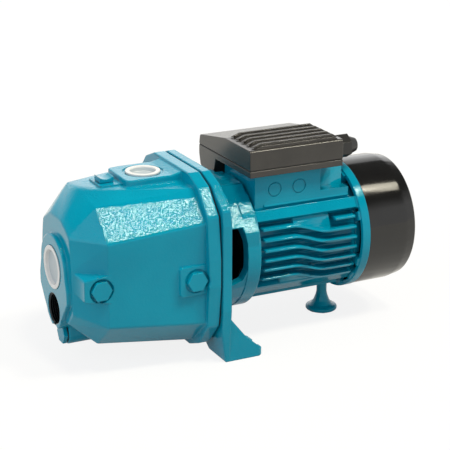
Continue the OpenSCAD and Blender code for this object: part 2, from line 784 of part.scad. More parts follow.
module impeller_key() {
    color(steel) translate([x_impeller + lap / 2, fit_gap - key_w / 2, shaft_h + shaft_pump_r - key_h / 2])
        cube([impeller_w - lap, key_w - 2 * fit_gap, key_h - 4 * fit_gap]);
}
module impeller_nut() {
    color(steel) difference() {
        translate([x_impeller - nut_l, 0, shaft_h]) rotate([0, 90, 0]) hexagon(nut_l, nut_r);
        xcyl(x_impeller - nut_l - lap, nut_l + 2 * lap, shaft_pump_r - 1.5 + fit_gap);
    }
}
module seal_seat() {
    color("linen") xtube(x_seat, seal_seat_t - 0.5, seal_seat_r - fit_gap, shaft_bearing_r + 1);
}
module seal_ring() {
    color("dimgray") xtube(x_seat - 6 - run_gap, 6, seal_seat_r - 1, shaft_pump_r + fit_gap);
}
module seal_bellows() {
    l = x_seat - 6 - run_gap - (x_impeller + impeller_w);
    color(rubber_black) turned(x_impeller + impeller_w)
        polygon([[shaft_pump_r + fit_gap, 0], [11, 0], [13, l * 0.2], [10.5, l * 0.4], [13, l * 0.6],
            [10.5, l * 0.8], [12, l], [shaft_pump_r + fit_gap, l]]);
}
module casing_gasket() {
    color(rubber_black) difference() {
        across(x_joint, gasket_t)
            polygon(rounded(both_sides(shrunk(flange_half, gasket_inset)), flange_corner_r));
        xcyl(x_joint - lap, gasket_t + 2 * lap, spigot_r + fit_gap);
        translate([x_joint - lap, 0, shaft_h]) at_casing_bolts()
            rotate([0, 90, 0]) cylinder(h = gasket_t + 2 * lap, r = bolt_r + 0.5);
    }
}

// Motor bracket with its foot
plate_half = [
    [flange_flat_half_w, flange_rise], [flange_corner_half_w + 1, flange_corner_rise + 0.5],
    [plate_half_w - 2, flange_side_rise + 5], [plate_half_w, flange_side_rise - 10], [plate_half_w, -40],
    [foot_half_w, -shaft_h], [foot_half_w - foot_w, -shaft_h], [foot_half_w - foot_w - 6, 6 - shaft_h]];
plate_corners = [6, 6, 6, 6, 12, 0, 0, 0, 0, 0, 0, 12, 6, 6, 6, 6];
module bracket_window() {
    x_window = x_motor - ring_w;
    sideways(-plate_half_w, plate_half_w) polygon([[x_plate, window_rise], [x_window - 4, window_rise - 1],
        [x_window, window_rise / 2], [x_window, -window_drop / 3], [x_window - 4, 10 - window_drop],
        [x_plate, -window_drop]]);
}
module foot() {
    x_foot = x_bracket + foot_back;
    foot_in = foot_half_w - foot_w;
    x_end = x_foot + foot_l;
    linear_extrude(foot_t) polygon(rounded([[x_foot, foot_in], [x_end, foot_in],
        [x_end, foot_slot_y - foot_slot_r], [x_end - foot_slot_l, foot_slot_y - foot_slot_r],
        [x_end - foot_slot_l, foot_slot_y + foot_slot_r], [x_end, foot_slot_y + foot_slot_r],
        [x_end, foot_half_w], [x_foot, foot_half_w]],
        [0, 5, 3, foot_slot_r - 0.01, foot_slot_r - 0.01, 3, 5, 0], 6));
    for (y = [foot_in, foot_half_w - web_t]) sideways(y, y + web_t)
        polygon([[x_plate - lap, -shaft_h], [x_end - 4, -shaft_h], [x_end - 4, foot_t + 2 - shaft_h],
            [x_plate + 18, web_h / 2 - shaft_h], [x_plate - lap, web_h - shaft_h]]);
}
// Octagonal above the bottom of the windows, and round below
module neck() {
    flat = neck_r * tan(22.5);
    low_r = neck_r + 0.6;
    half = concat([[flat, neck_r], [neck_r, flat]], [for (a = [-12:-14:-82]) low_r * [cos(a), sin(a)]]);
    across(x_plate - lap, bracket_l - plate_t - 2 + lap) polygon(both_sides(half));
}
module motor_bracket() {
    color(pump_blue) difference() {
        union() {
            difference() {
                union() {
                    across(x_bracket, plate_t) polygon(rounded(both_sides(plate_half), plate_corners));
                    neck();
                    xcyl(x_motor - ring_w, ring_w, ring_r);
                }
                xcyl(x_plate, bracket_l, neck_bore_r);
                bracket_window();
            }
            xtube(x_bracket - spigot_l, spigot_l + lap, spigot_r - fit_gap, spigot_r - 4);
            xcyl(x_bracket, x_hub_end - x_bracket, hub_r);
            xcyl(x_front_bearing - 4, x_motor - x_front_bearing + 4, bearing_hub_r);
            xcyl(x_motor - ring_w, 5, neck_bore_r + lap);
            xtube(x_motor - ring_w + 4, ring_w - 4 + 3, stator_r - fit_gap, stator_r - 4);
            both_y() foot();
        }
        // Slope at the front of the plate down to the foot
        sideways(-plate_half_w, plate_half_w) polygon([[x_bracket - lap, -shaft_h - lap],
            [x_bracket + foot_back, -shaft_h - lap], [x_bracket + foot_back, -shaft_h],
            [x_bracket - lap, 36 - shaft_h]]);
        // Room for the capacitor trough of the terminal box
        translate([x_box - lap, trough_in - 8, shaft_h + box_rise - trough_h - run_gap])
            cube([bracket_l, box_far, trough_h]);
        xcyl(x_bracket - lap, seal_chamber_l + lap, seal_chamber_r);
        xcyl(x_seat - lap, seal_seat_t + lap, seal_seat_r);
        xcyl(x_seat, bracket_l, shaft_bearing_r + 1);
        xcyl(x_front_bearing, bracket_l, bearing_r + fit_gap);
        translate([x_bracket - lap, 0, shaft_h]) at_casing_bolts()
            rotate([0, 90, 0]) cylinder(h = plate_t + 2 * lap, r = bolt_r + 0.5);
        translate([x_motor - ring_w - lap, 0, shaft_h]) at_tie_bolts()
            rotate([0, 90, 0]) cylinder(h = ring_w + 2 * lap, r = tie_bolt_r + fit_gap);
    }
}
module casing_bolts() {
    color(steel) translate([x_plate, 0, shaft_h]) at_casing_bolts() {
        rotate([0, 90, 0]) hexagon(5.5, 6.5);
        translate([2 - plate_t - gasket_t - flange_t, 0, 0])
            rotate([0, 90, 0]) cylinder(h = plate_t + gasket_t + flange_t, r = bolt_r);
    }
}

// Shaft and bearings
module shaft() {
    color(steel) {
        difference() {
            union() {
                xcyl(x_impeller - nut_l - 3, nut_l + 3 + lap, shaft_pump_r - 1.5);
                xcyl(x_impeller, x_seat + 2 - x_impeller, shaft_pump_r);
                xcyl(x_seat + 1.5, x_rear_bearing + bearing_w - x_seat, shaft_bearing_r);
                xcyl(x_front_bearing + bearing_w, x_rear_bearing - x_front_bearing - bearing_w,
                    shaft_rotor_r);
                xcyl(x_rear_bearing, x_shaft_end - x_rear_bearing, fan_bore_r);
            }
            translate([x_impeller + 0.4, -key_w / 2, shaft_h + shaft_pump_r - key_h / 2 - fit_gap])
                cube([impeller_w - 0.8, key_w, key_h]);
            xtube(x_fan + fan_hub_l + run_gap - 0.2, 1.4, fan_bore_r + lap, fan_bore_r - 1);
        }
    }
}
module slinger() {
    bore_r = shaft_bearing_r + fit_gap;
    color(rubber_black) turned(x_hub_end + 3)
        polygon([[bore_r, 0], [13, 0], [17, -1.5], [18, -0.5], [13, 2.5], [bore_r, 3]]);
}
module bearing_outer(x) {
    difference() {
        xtube(x, bearing_w, bearing_r, bearing_r - ring_land_w);
        turned(x + bearing_w / 2) translate([pitch_r, 0]) circle(ball_r + 0.06, $fn = 32);
    }
}
module bearing_inner(x) {
    difference() {
        xtube(x, bearing_w, shaft_bearing_r + ring_land_w + 0.6, shaft_bearing_r + fit_gap);
        turned(x + bearing_w / 2) translate([pitch_r, 0]) circle(ball_r + 0.06, $fn = 32);
    }
}
module bearing_balls(x) {
    for (i = [0:ball_n - 1])
        translate([x + bearing_w / 2, 0, shaft_h]) rotate([360 * i / ball_n, 0, 0])
            translate([0, pitch_r, 0]) sphere(ball_r, $fn = 24);
}
module front_bearing_outer() { color(steel) bearing_outer(x_front_bearing); }
module front_bearing_inner() { color(steel) bearing_inner(x_front_bearing); }
module front_bearing_balls() { color(steel) bearing_balls(x_front_bearing); }
module rear_bearing_outer() { color(steel) bearing_outer(x_rear_bearing); }
module rear_bearing_inner() { color(steel) bearing_inner(x_rear_bearing); }
module rear_bearing_balls() { color(steel) bearing_balls(x_rear_bearing); }

// Motor
module rotor_core() {
    color("gray") difference() {
        union() {
            xcyl(x_stator, stator_l, rotor_r);
            xcyl(x_stator - 7, stator_l + 14, rotor_r - 2.5);
        }
        xcyl(x_stator - 10, stator_l + 20, shaft_rotor_r + fit_gap);
    }
}
module stator_core() {
    color("dimgray") xtube(x_stator, stator_l, stator_r - fit_gap, rotor_r + air_gap);
}
module winding(x) {
    color("peru") turned(x) polygon(rounded([[rotor_r + 4, 0], [stator_r - 4, 0], [stator_r - 6, winding_l],
        [rotor_r + 5, winding_l]], [0, 0, 4, 4]));
}
module front_winding() { translate([2 * x_stator, 0, 0]) mirror([1, 0, 0]) winding(x_stator); }
module rear_winding() { winding(x_stator + stator_l); }

// Height of a fin's centre line at a share of the housing length: it falls by one pitch in an S
function fin_wave(s) = let(q = min(1, max(0, (s - 0.3) / 0.42))) -fin_pitch * q * q * (3 - 2 * q);
function fin_x(x0, x1, i) = x0 + (x1 - x0) * i / fin_steps;
module side_fins(x0, x1) {
    for (k = [0:fin_n - 1]) let(h = fin_top - k * fin_pitch)
        polygon(concat(
            [for (i = [0:fin_steps]) [fin_x(x0, x1, i), h + fin_wave(i / fin_steps) + fin_t / 2]],
            [for (i = [fin_steps:-1:0]) [fin_x(x0, x1, i), h + fin_wave(i / fin_steps) - fin_t / 2]]));
    // Short fin behind the upper bare pad
    translate([fin_x(x0, x1, 14), fin_top - fin_t / 2]) square([x1 - fin_x(x0, x1, 14), fin_t]);
}
// Bare pads between the rails and the wave of the outermost fins
module bare_pads(x0, x1) {
    low = fin_top - (fin_n - 1) * fin_pitch;
    polygon(concat([for (i = [6:13]) [fin_x(x0, x1, i), fin_top + fin_wave(i / fin_steps)]],
        [[fin_x(x0, x1, 13), fin_top + 9.5], [fin_x(x0, x1, 6), fin_top + 9.5]]));
    polygon(concat([for (i = [4:12]) [fin_x(x0, x1, i), low + fin_wave(i / fin_steps)]],
        [[fin_x(x0, x1, 12), low - 12.5], [fin_x(x0, x1, 4), low - 12.5]]));
}
module terminal_base() {
    near = box_near - 8;
    far = trough_in - 6;
    x0 = x_motor + 2;
    base_l = 73;
    translate([x0, -near, shaft_h + 30]) cube([base_l, near + far, box_rise - 30]);
    // Lower step behind the base, with a narrower wall standing on it
    rear_l = housing_l - base_l - 6;
    translate([x0 + base_l - lap, -near, shaft_h + 30]) cube([rear_l, near + far, base_step - 30]);
    translate([x0 + base_l - lap, 14 - near, shaft_h + 30]) cube([rear_l, near + far - 20, box_rise - 36]);
    // Ledge above the near rail
    across(x0 + 10, base_l + rear_l - 12)
        polygon([[lap - near, 48], [-near - 1.7, 45.6], [-near - 1.7, 44.6], [lap - near, 43.4]]);
}
module knock_outs() {
    near = box_near - 8;
    for (x = [x_motor + 24, x_motor + 51])
        translate([x, 1 - near, shaft_h + 61]) rotate([90, 0, 0]) difference() {
            cylinder(h = 4, r = 7.4);
            translate([0, 0, -lap]) cylinder(h = 6, r = 6.5);
        }
}
module motor_housing() {
    x0 = x_motor + 6;
    x1 = x_shield - 3;
    color(pump_blue) difference() {
        union() {
            xcyl(x_motor, housing_l, barrel_r);
            intersection() {
                sideways(-fin_r, fin_r) side_fins(x0, x1);
                xtube(x_motor, housing_l, fin_r, barrel_r - lap);
            }
            for (angle = tie_angles)
                let(low = sin(angle) < 0)
                    rail(x_motor + rail_back, housing_l - 2 * rail_back, angle, barrel_r - 6,
                        low ? low_rail_r : rail_r, low ? 13 : 11);
            rail(x_motor + 2, housing_l - 6, -64, barrel_r - 6, low_rail_r, 4);
            rail(x_motor + 2, housing_l - 6, -116, barrel_r - 6, low_rail_r, 4);
            intersection() {
                sideways(-fin_r, fin_r) bare_pads(x0, x1);
                xtube(x_motor, housing_l, fin_r - 2.7, barrel_r - lap);
            }
            terminal_base();
            // Seat of the support foot
            translate([x_support - support_seat, -support_seat, shaft_h - low_rail_r - 0.5])
                cube([support_seat + support_front - rail_back, 2 * support_seat, low_rail_r - stator_r]);
        }
        xcyl(x_motor - lap, housing_l + 2 * lap, stator_r);
        knock_outs();
        translate([x_motor - lap, 0, shaft_h]) at_tie_bolts()
            rotate([0, 90, 0]) cylinder(h = housing_l + 2 * lap, r = tie_bolt_r + fit_gap);
        translate([x_support, 0, 0]) cylinder(h = shaft_h - stator_r - 3, r = support_pin_r + fit_gap);
        at_box_screws() translate([0, 0, -box_screw_l - lap])
            cylinder(h = box_screw_l + 2 * lap, r = box_screw_r);
    }
}
module rear_end_shield() {
    color(pump_blue) difference() {
        union() {
            xcyl(x_shield, shield_t, barrel_r + 1);
            xtube(x_shield - 3, 3 + lap, stator_r - fit_gap, stator_r - 4);
            xcyl(x_rear_bearing - bearing_hub_back, bearing_w + bearing_hub_back + 5, bearing_hub_r);
            xtube(x_cover - hoop_w, hoop_w, rear_ring_r, rear_ring_r - hoop_t);
            xtube(x_cover - hoop_w, hoop_w + hoop_step, cover_r - cover_wall - fit_gap, rear_ring_r - hoop_t);
            for (i = [0:7])
                rail(x_shield + rail_back, shield_t - 2 * rail_back, 22.5 + 45 * i, barrel_r - lap,
                    rear_ring_r - 2, 9);
            for (angle = tie_angles)
                rail(x_shield + rail_back, shield_t - 2 * rail_back, angle, barrel_r - lap,
                    rear_ring_r - 2, 12);
        }
        xcyl(x_rear_bearing - bearing_hub_back - lap,
            bearing_w + bearing_hub_back + lap + wave_t + 2 * fit_gap, bearing_r + fit_gap);
        xcyl(x_rear_bearing, bearing_w + 10, shaft_bearing_r + 1.5);
        translate([x_shield - lap, 0, shaft_h]) at_tie_bolts()
            rotate([0, 90, 0]) cylinder(h = shield_t + 2 * lap, r = tie_bolt_r + fit_gap);
    }
}
module wave_washer() {
    color(steel) xtube(x_rear_bearing + bearing_w + fit_gap, wave_t, bearing_r - 0.5, bearing_r - 4.5);
}
module tie_bolts() {
    color(steel) translate([0, 0, shaft_h]) at_tie_bolts() {
        translate([x_shield + shield_t, 0, 0]) rotate([0, 90, 0]) hexagon(3.5, tie_head_r);
        translate([x_motor - ring_w + 2, 0, 0]) rotate([0, 90, 0])
            cylinder(h = x_shield + shield_t - x_motor + ring_w - 1, r = tie_bolt_r);
    }
}

// Fan and cover
module cooling_fan() {
    color("dimgray") difference() {
        union() {
            xcyl(x_fan, fan_hub_l, fan_hub_r);
            xcyl(x_fan + fan_hub_l - 4, 2.5, fan_r);
            across(x_fan, fan_hub_l - 3) vanes(fan_n, fan_hub_r - lap, fan_r - lap, 0, vane_t);
        }
        xcyl(x_fan - lap, fan_hub_l + 2 * lap, fan_bore_r + fit_gap);
    }
}
module fan_clip() {
    color(steel) xtube(x_fan + fan_hub_l + run_gap, 1, fan_bore_r + 2.5, fan_bore_r - 1 + fit_gap);
}
module fan_cover() {
    slot_w = 4.5;
    rib_w = 5;
    draft = 0.3;
    edge = 1.2;
    rear_r = cover_r - draft - cover_taper;
    x0 = x_cover + fit_gap;
    l = x_rear - x0;
    color(cover_black) difference() {
        turned(x0) polygon([[cover_r - cover_wall, 0], [cover_r, 0], [cover_r - draft, l - cover_taper_l],
            [rear_r, l - edge], [rear_r - edge, l], [0, l], [0, l - cover_wall],
            [rear_r - cover_wall, l - cover_wall], [cover_r - cover_wall - draft, l - cover_taper_l],
            [cover_r - cover_wall, hoop_step + lap]]);
        for (i = [1:slot_rings]) let(r = rear_r - 10 - (i - 1) * 11)
            difference() {
                xtube(x_rear - 2 * cover_wall, 3 * cover_wall, r, r - slot_w);
                for (k = [0:5])
                    rail(x_rear - 3 * cover_wall, 5 * cover_wall, 60 * k + 30, 0, cover_r, rib_w);
            }
    }
}

// Terminal box
trough_half = [
    [-box_near, box_rise], [trough_in - 4, box_rise], [trough_in + 1, box_rise - trough_h + 4],
    [trough_in + 5, box_rise - trough_h], [box_far - 12, box_rise - trough_h],
    [box_far - 3, box_rise - trough_h + 6], [box_far, box_rise - 3], [box_far, parting_h],
    [-box_near, parting_h]];
lid_section = [
    [-box_near, parting_h + gasket_strip], [box_far, parting_h + gasket_strip],
    [box_far - 2, lid_top_h - lid_drop], [0, lid_top_h], [-box_near, lid_top_h]];
module gland_tab(grow) {
    translate([x_box_end - box_wall - grow, gland_y - gland_tab_half - grow, shaft_h + parting_h - lap])
        cube([box_wall + 2 * grow, 2 * (gland_tab_half + grow), 12 + lap + grow]);
}
module at_box_screws() {
    for (x = [14, 66], y = [-36, 8]) translate([x_motor + x, y, shaft_h + box_rise]) children();
}
module box_base() {
    color(box_grey) difference() {
        union() {
            difference() {
                across(x_box, box_l) polygon(trough_half);
                across(x_box + box_wall, box_l - 2 * box_wall) offset(delta = -box_wall) polygon(trough_half);
                translate([x_box + box_wall, box_wall - box_near, shaft_h + box_rise + box_wall])
                    cube([box_l - 2 * box_wall, box_near + box_far - 2 * box_wall, box_h]);
            }
            gland_tab(0);
        }
        on_gland(-box_wall - gland_in - lap)
            cylinder(h = box_wall + gland_in + 2 * lap, r = gland_r + fit_gap);
        at_box_screws() translate([0, 0, -lap]) cylinder(h = box_wall + 2 * lap, r = box_screw_r + 0.2);
    }
}
module box_gasket() {
    inset = 0.6;
    color(rubber_black) difference() {
        translate([x_box + inset, inset - box_near, shaft_h + parting_h])
            cube([box_l - 2 * inset, box_near + box_far - 2 * inset, gasket_strip]);
        translate([x_box + box_wall, box_wall - box_near, shaft_h + parting_h - lap])
            cube([box_l - 2 * box_wall, box_near + box_far - 2 * box_wall, 4]);
        gland_tab(fit_gap);
    }
}
module box_lid() {
    crown_h = 2.6;
    x_crown = x_box + 5;
    x_crown_end = x_box_end - 3;
    crown = [[x_crown, lid_top_h - lap], [x_crown + 10, lid_top_h + crown_h],
        [x_crown_end - 5, lid_top_h + crown_h], [x_crown_end, lid_top_h - lap]];
    color(box_grey) difference() {
        union() {
            across(x_box, box_l) polygon(rounded(lid_section, [0, 0, 3, 3, 3]));
            sideways(4 - box_near, 1) polygon(crown);
            for (k = [0:rib_n - 1]) let(y = 7 - box_near + k * rib_pitch)
                sideways(y, y + 3) translate([0, rib_h]) polygon(crown);
        }
        across(x_box + box_wall, box_l - 2 * box_wall)
            offset(delta = -box_wall) polygon(concat([[-box_near, parting_h - 9], [box_far, parting_h - 9]],
                [for (i = [2:4]) lid_section[i]]));
        gland_tab(fit_gap);
    }
}
module box_screws() {
    color(steel) at_box_screws() {
        translate([0, 0, box_wall]) cylinder(h = box_screw_r, r = 1.75 * box_screw_r);
        translate([0, 0, -box_screw_l]) cylinder(h = box_screw_l + box_wall + lap, r = box_screw_r - fit_gap);
    }
}
module capacitor() {
    color("silver") xcyl(x_box + 12, 74, capacitor_r, (trough_in + box_far) / 2,
        box_rise - trough_h + box_wall + capacitor_r + fit_gap);
}
module terminal_block() {
    color("ivory") translate([x_motor + 24, -34, shaft_h + box_rise + box_wall]) difference() {
        cube([34, 18, 11]);
        for (k = [0:2]) translate([6 + 11 * k, 9, 5]) cylinder(h = 10, r = 3);
    }
}
// A piece on the gland's axis, measured from the end of the box
module on_gland(x) {
    translate([x_box_end + x, gland_y, shaft_h + gland_h]) rotate([0, 90, 0]) children();
}
module cable_gland() {
    color(cover_black) difference() {
        union() {
            on_gland(-box_wall - gland_in) cylinder(h = box_wall + gland_in + lap, r = gland_r);
            on_gland(0) hexagon(gland_hex_l, gland_hex_r);
            on_gland(gland_hex_l - lap) cylinder(h = gland_thread_l + lap, r = gland_r);
        }
        on_gland(-2 * gland_in) cylinder(h = gland_l, r = gland_bore_r + 0.5);
    }
}
module gland_nut() {
    grip_l = gland_l - gland_hex_l - lap - 9;
    l = gland_l - gland_hex_l - lap;
    color(cover_black) on_gland(gland_hex_l + lap) difference() {
        union() {
            hexagon(grip_l, gland_hex_r);
            rotate_extrude() polygon([[0, 0], [gland_hex_r - 0.6, 0], [gland_hex_r - 0.6, grip_l],
                [gland_r - 1.2, l], [0, l]]);
        }
        translate([0, 0, -lap]) cylinder(h = gland_thread_l + gland_seal_l + lap, r = gland_r + fit_gap);
        translate([0, 0, -lap]) cylinder(h = l + 2 * lap, r = gland_bore_r + 0.5);
    }
}
module gland_seal() {
    color(rubber_black) on_gland(gland_hex_l + gland_thread_l + fit_gap) difference() {
        cylinder(h = gland_seal_l, r = gland_r - fit_gap);
        translate([0, 0, -lap]) cylinder(h = gland_seal_l + 2 * lap, r = gland_bore_r);
    }
}

// Rear support foot
module support_foot() {
    pad_t = 4.5;
    stem_top = shaft_h - low_rail_r - 0.5;
    color(pump_blue) translate([x_support, 0, 0]) rotate_extrude()
        polygon([[0, 0], [support_r - 1, 0], [support_r, 1], [support_r, pad_t - 1],
            [support_r - 2, pad_t + 0.4], [support_stem_r + 6, pad_t + 1.2], [support_stem_r + 3, 10],
            [support_stem_r + 0.8, 16], [support_stem_r, 20], [support_stem_r, stem_top],
            [support_pin_r, stem_top], [support_pin_r, stem_top + 6], [0, stem_top + 6]]);
}

pump_casing();
suction_cap();
discharge_cap();
priming_plug();
priming_washer();
side_plugs();
side_plug_washers();
drain_plug();
drain_washer();
diffuser();
impeller();
impeller_key();
impeller_nut();
seal_seat();
seal_ring();
seal_bellows();
casing_gasket();
motor_bracket();
casing_bolts();
shaft();
slinger();
front_bearing_outer();
front_bearing_inner();
front_bearing_balls();
rear_bearing_outer();
rear_bearing_inner();
rear_bearing_balls();
rotor_core();
motor_housing();
stator_core();
front_winding();
rear_winding();
rear_end_shield();
wave_washer();
tie_bolts();
cooling_fan();
fan_clip();
fan_cover();
box_base();
box_gasket();
box_lid();
box_screws();
capacitor();
terminal_block();
cable_gland();
gland_nut();
gland_seal();
support_foot();
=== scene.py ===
"""Studio scene of a jet pump for a well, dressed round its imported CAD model."""

import json
import logging
import math
from dataclasses import dataclass
from enum import Enum

import bmesh
import bpy
from mathutils import Matrix, Vector
from mathutils.bvhtree import BVHTree
from mathutils.geometry import intersect_point_line, tessellate_polygon


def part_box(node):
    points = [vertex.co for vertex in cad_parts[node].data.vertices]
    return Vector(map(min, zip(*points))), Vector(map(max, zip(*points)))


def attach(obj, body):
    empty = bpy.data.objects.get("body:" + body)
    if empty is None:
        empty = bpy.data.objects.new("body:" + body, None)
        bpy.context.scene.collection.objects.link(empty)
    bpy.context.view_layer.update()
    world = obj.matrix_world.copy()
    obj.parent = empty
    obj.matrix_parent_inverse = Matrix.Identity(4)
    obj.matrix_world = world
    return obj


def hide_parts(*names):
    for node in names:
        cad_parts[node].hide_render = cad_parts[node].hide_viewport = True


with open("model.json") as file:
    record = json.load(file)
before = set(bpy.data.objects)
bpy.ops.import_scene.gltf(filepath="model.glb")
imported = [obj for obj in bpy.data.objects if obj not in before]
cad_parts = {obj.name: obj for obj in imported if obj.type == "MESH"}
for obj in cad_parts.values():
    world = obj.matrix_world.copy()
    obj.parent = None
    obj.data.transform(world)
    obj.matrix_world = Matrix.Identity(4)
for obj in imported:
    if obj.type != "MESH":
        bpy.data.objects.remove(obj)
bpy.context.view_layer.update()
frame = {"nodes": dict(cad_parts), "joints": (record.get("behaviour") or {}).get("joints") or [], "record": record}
LOG = logging.getLogger("jet_pump")
MM = 0.001
Triple = tuple[float, float, float]
MOUNTS = {mount["name"]: mount for mount in frame["record"]["mounts"]}
JOINTS = {joint["name"]: joint for joint in frame["joints"]}
# Height of the shaft above the floor
SHAFT_MM = JOINTS["rotor_spin"]["pos_m"][2] / MM
# Half length of a zone round the shaft, so long that its ends never show
ENDLESS_MM = 1000.0
# Fade of a zone whose edge looks sharp
CRISP = 0.001
# Part of a pattern's values over which its two shades run into each other
SHADE_FROM, SHADE_TO = 0.3, 0.7
# Rays that a shader sends out to round an edge
EDGE_SAMPLES = 6
# Sockets of a Mix node that mixes colours
MIX_SHARE, MIX_FIRST, MIX_SECOND, MIX_RESULT = 0, 6, 7, 2
# Edges that turn more than this look sharp. The faceted castings have the smaller limit
SMOOTH_DEG, CAST_SMOOTH_DEG = 35.0, 14.0


# Colours and nodes

def linear(code: str) -> tuple[float, float, float, float]:
    """Turns an sRGB hex colour into linear RGBA, by the curve of the sRGB standard.

    Args:
        code: six hex digits, with or without a leading hash.

    Returns:
        Red, green, blue and an alpha of one.
    """
    digits = code.lstrip("#")
    parts = [int(digits[i:i + 2], 16) / 255 for i in (0, 2, 4)]
    red, green, blue = [p / 12.92 if p <= 0.04045 else ((p + 0.055) / 1.055) ** 2.4 for p in parts]
    return red, green, blue, 1.0


def add_node(tree: bpy.types.NodeTree, kind: str, values: dict | None = None, links: dict | None = None,
             **settings: object) -> bpy.types.Node:
    """Adds a node with its settings and links.

    Args:
        tree: node tree that takes the node.
        kind: Blender's name for the node type.
        values: input name or number to the value set on it.
        links: input name or number to the output socket that feeds it.
        settings: properties of the node itself.

    Returns:
        The new node.
    """
    node = tree.nodes.new(kind)
    for key, value in settings.items():
        setattr(node, key, value)
    for key, value in (values or {}).items():
        node.inputs[key].default_value = value
    for key, socket in (links or {}).items():
        tree.links.new(socket, node.inputs[key])
    return node


def per_metre(size_mm: float) -> float:
    """Scale of a texture whose features are size_mm across."""
    return 1.0 / (size_mm * MM)


# Finishes

@dataclass(frozen=True)
class Zone:
    """A round region of a piece that has another colour, as a centre and three half lengths.

    The colour comes in from the edge over fade, which is a share of the half lengths.
    """

    colour: str
    centre_mm: Triple
    half_mm: Triple
    fade: float = CRISP

    @classmethod
    def round_shaft(cls, colour: str, node: str, radius_mm: float, fade: float = CRISP) -> "Zone":
        """Makes a tube round the shaft.

        Args:
            colour: hex colour inside the tube.
            node: CAD node that the tube runs through.
            radius_mm: radius of the tube.
            fade: share of the radius over which the colour comes in.

        Returns:
            The zone.
        """
        low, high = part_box(node)
        middle_mm = (low.x + high.x) / 2 / MM
        return cls(colour, (middle_mm, 0.0, SHAFT_MM), (ENDLESS_MM, radius_mm, radius_mm), fade)

    def mask(self, tree: bpy.types.NodeTree) -> bpy.types.NodeSocket:
        """Tells inside from outside.

        Args:
            tree: node tree that takes the nodes.

        Returns:
            One inside the zone and zero outside, with a fade between them just inside its edge.
        """
        place = add_node(tree, "ShaderNodeTexCoord")
        away = add_node(tree, "ShaderNodeVectorMath", {1: Vector(self.centre_mm) * MM},
                        {0: place.outputs["Object"]}, operation="SUBTRACT")
        share = add_node(tree, "ShaderNodeVectorMath", {1: [per_metre(h) for h in self.half_mm]},
                         {0: away.outputs["Vector"]}, operation="MULTIPLY")
        reach = add_node(tree, "ShaderNodeVectorMath", links={0: share.outputs["Vector"]},
                         operation="LENGTH")
        inside = add_node(tree, "ShaderNodeMapRange", {"From Min": 1.0, "From Max": 1.0 - self.fade},
                          {"Value": reach.outputs["Value"]})
        return inside.outputs[0]


@dataclass(frozen=True)
class Finish:
    """What every finish has: a name, a colour, how rough it is, and its zones of another colour."""

    name: str
    colour: str
    roughness: float
    zones: tuple[Zone, ...] = ()

    def shader(self) -> tuple[bpy.types.Material, bpy.types.NodeTree, bpy.types.Node]:
        """Starts the material.

        Returns:
            The material, its node tree and its Principled shader.
        """
        material = bpy.data.materials.new(self.name)
        material.use_nodes = True
        tree = material.node_tree
        tree.nodes.clear()
        principled = add_node(tree, "ShaderNodeBsdfPrincipled",
                              {"Base Color": linear(self.colour), "Roughness": self.roughness})
        add_node(tree, "ShaderNodeOutputMaterial", links={"Surface": principled.outputs["BSDF"]})
        return material, tree, principled

    def spread(self, tree: bpy.types.NodeTree, size_mm: float, octaves: float = 2.0,
               stretch: Triple = (1.0, 1.0, 1.0)) -> bpy.types.NodeSocket:
        """Spreads a noise over the piece, in Object coordinates.

        Args:
            tree: node tree that takes the nodes.
            size_mm: width of the noise's features.
            octaves: how many finer layers of noise are added.
            stretch: scale along each axis, below one to draw the noise out.

        Returns:
            The noise's value socket.
        """
        place = add_node(tree, "ShaderNodeTexCoord")
        drawn = add_node(tree, "ShaderNodeMapping", {"Scale": stretch}, {"Vector": place.outputs["Object"]})
        noise = add_node(tree, "ShaderNodeTexNoise", {"Scale": per_metre(size_mm), "Detail": octaves},
                         {"Vector": drawn.outputs["Vector"]})
        return noise.outputs["Fac"]

    def shade(self, tree: bpy.types.NodeTree, principled: bpy.types.Node, value: bpy.types.NodeSocket,
              dark: str) -> None:
        """Runs the base colour from a darker shade to the finish's colour by a value, and adds the zones.

        Args:
            tree: node tree that takes the nodes.
            principled: shader that gets the colour.
            value: socket that picks the shade.
            dark: hex colour at the bottom of the value.
        """
        ramp = add_node(tree, "ShaderNodeValToRGB", links={"Fac": value})
        bottom, top = ramp.color_ramp.elements
        bottom.position, top.position = SHADE_FROM, SHADE_TO
        bottom.color, top.color = linear(dark), linear(self.colour)
        colour = ramp.outputs["Color"]
        for zone in self.zones:
            mixed = add_node(tree, "ShaderNodeMix", {MIX_SECOND: linear(zone.colour)},
                             {MIX_SHARE: zone.mask(tree), MIX_FIRST: colour}, data_type="RGBA")
            colour = mixed.outputs[MIX_RESULT]
        tree.links.new(colour, principled.inputs["Base Color"])


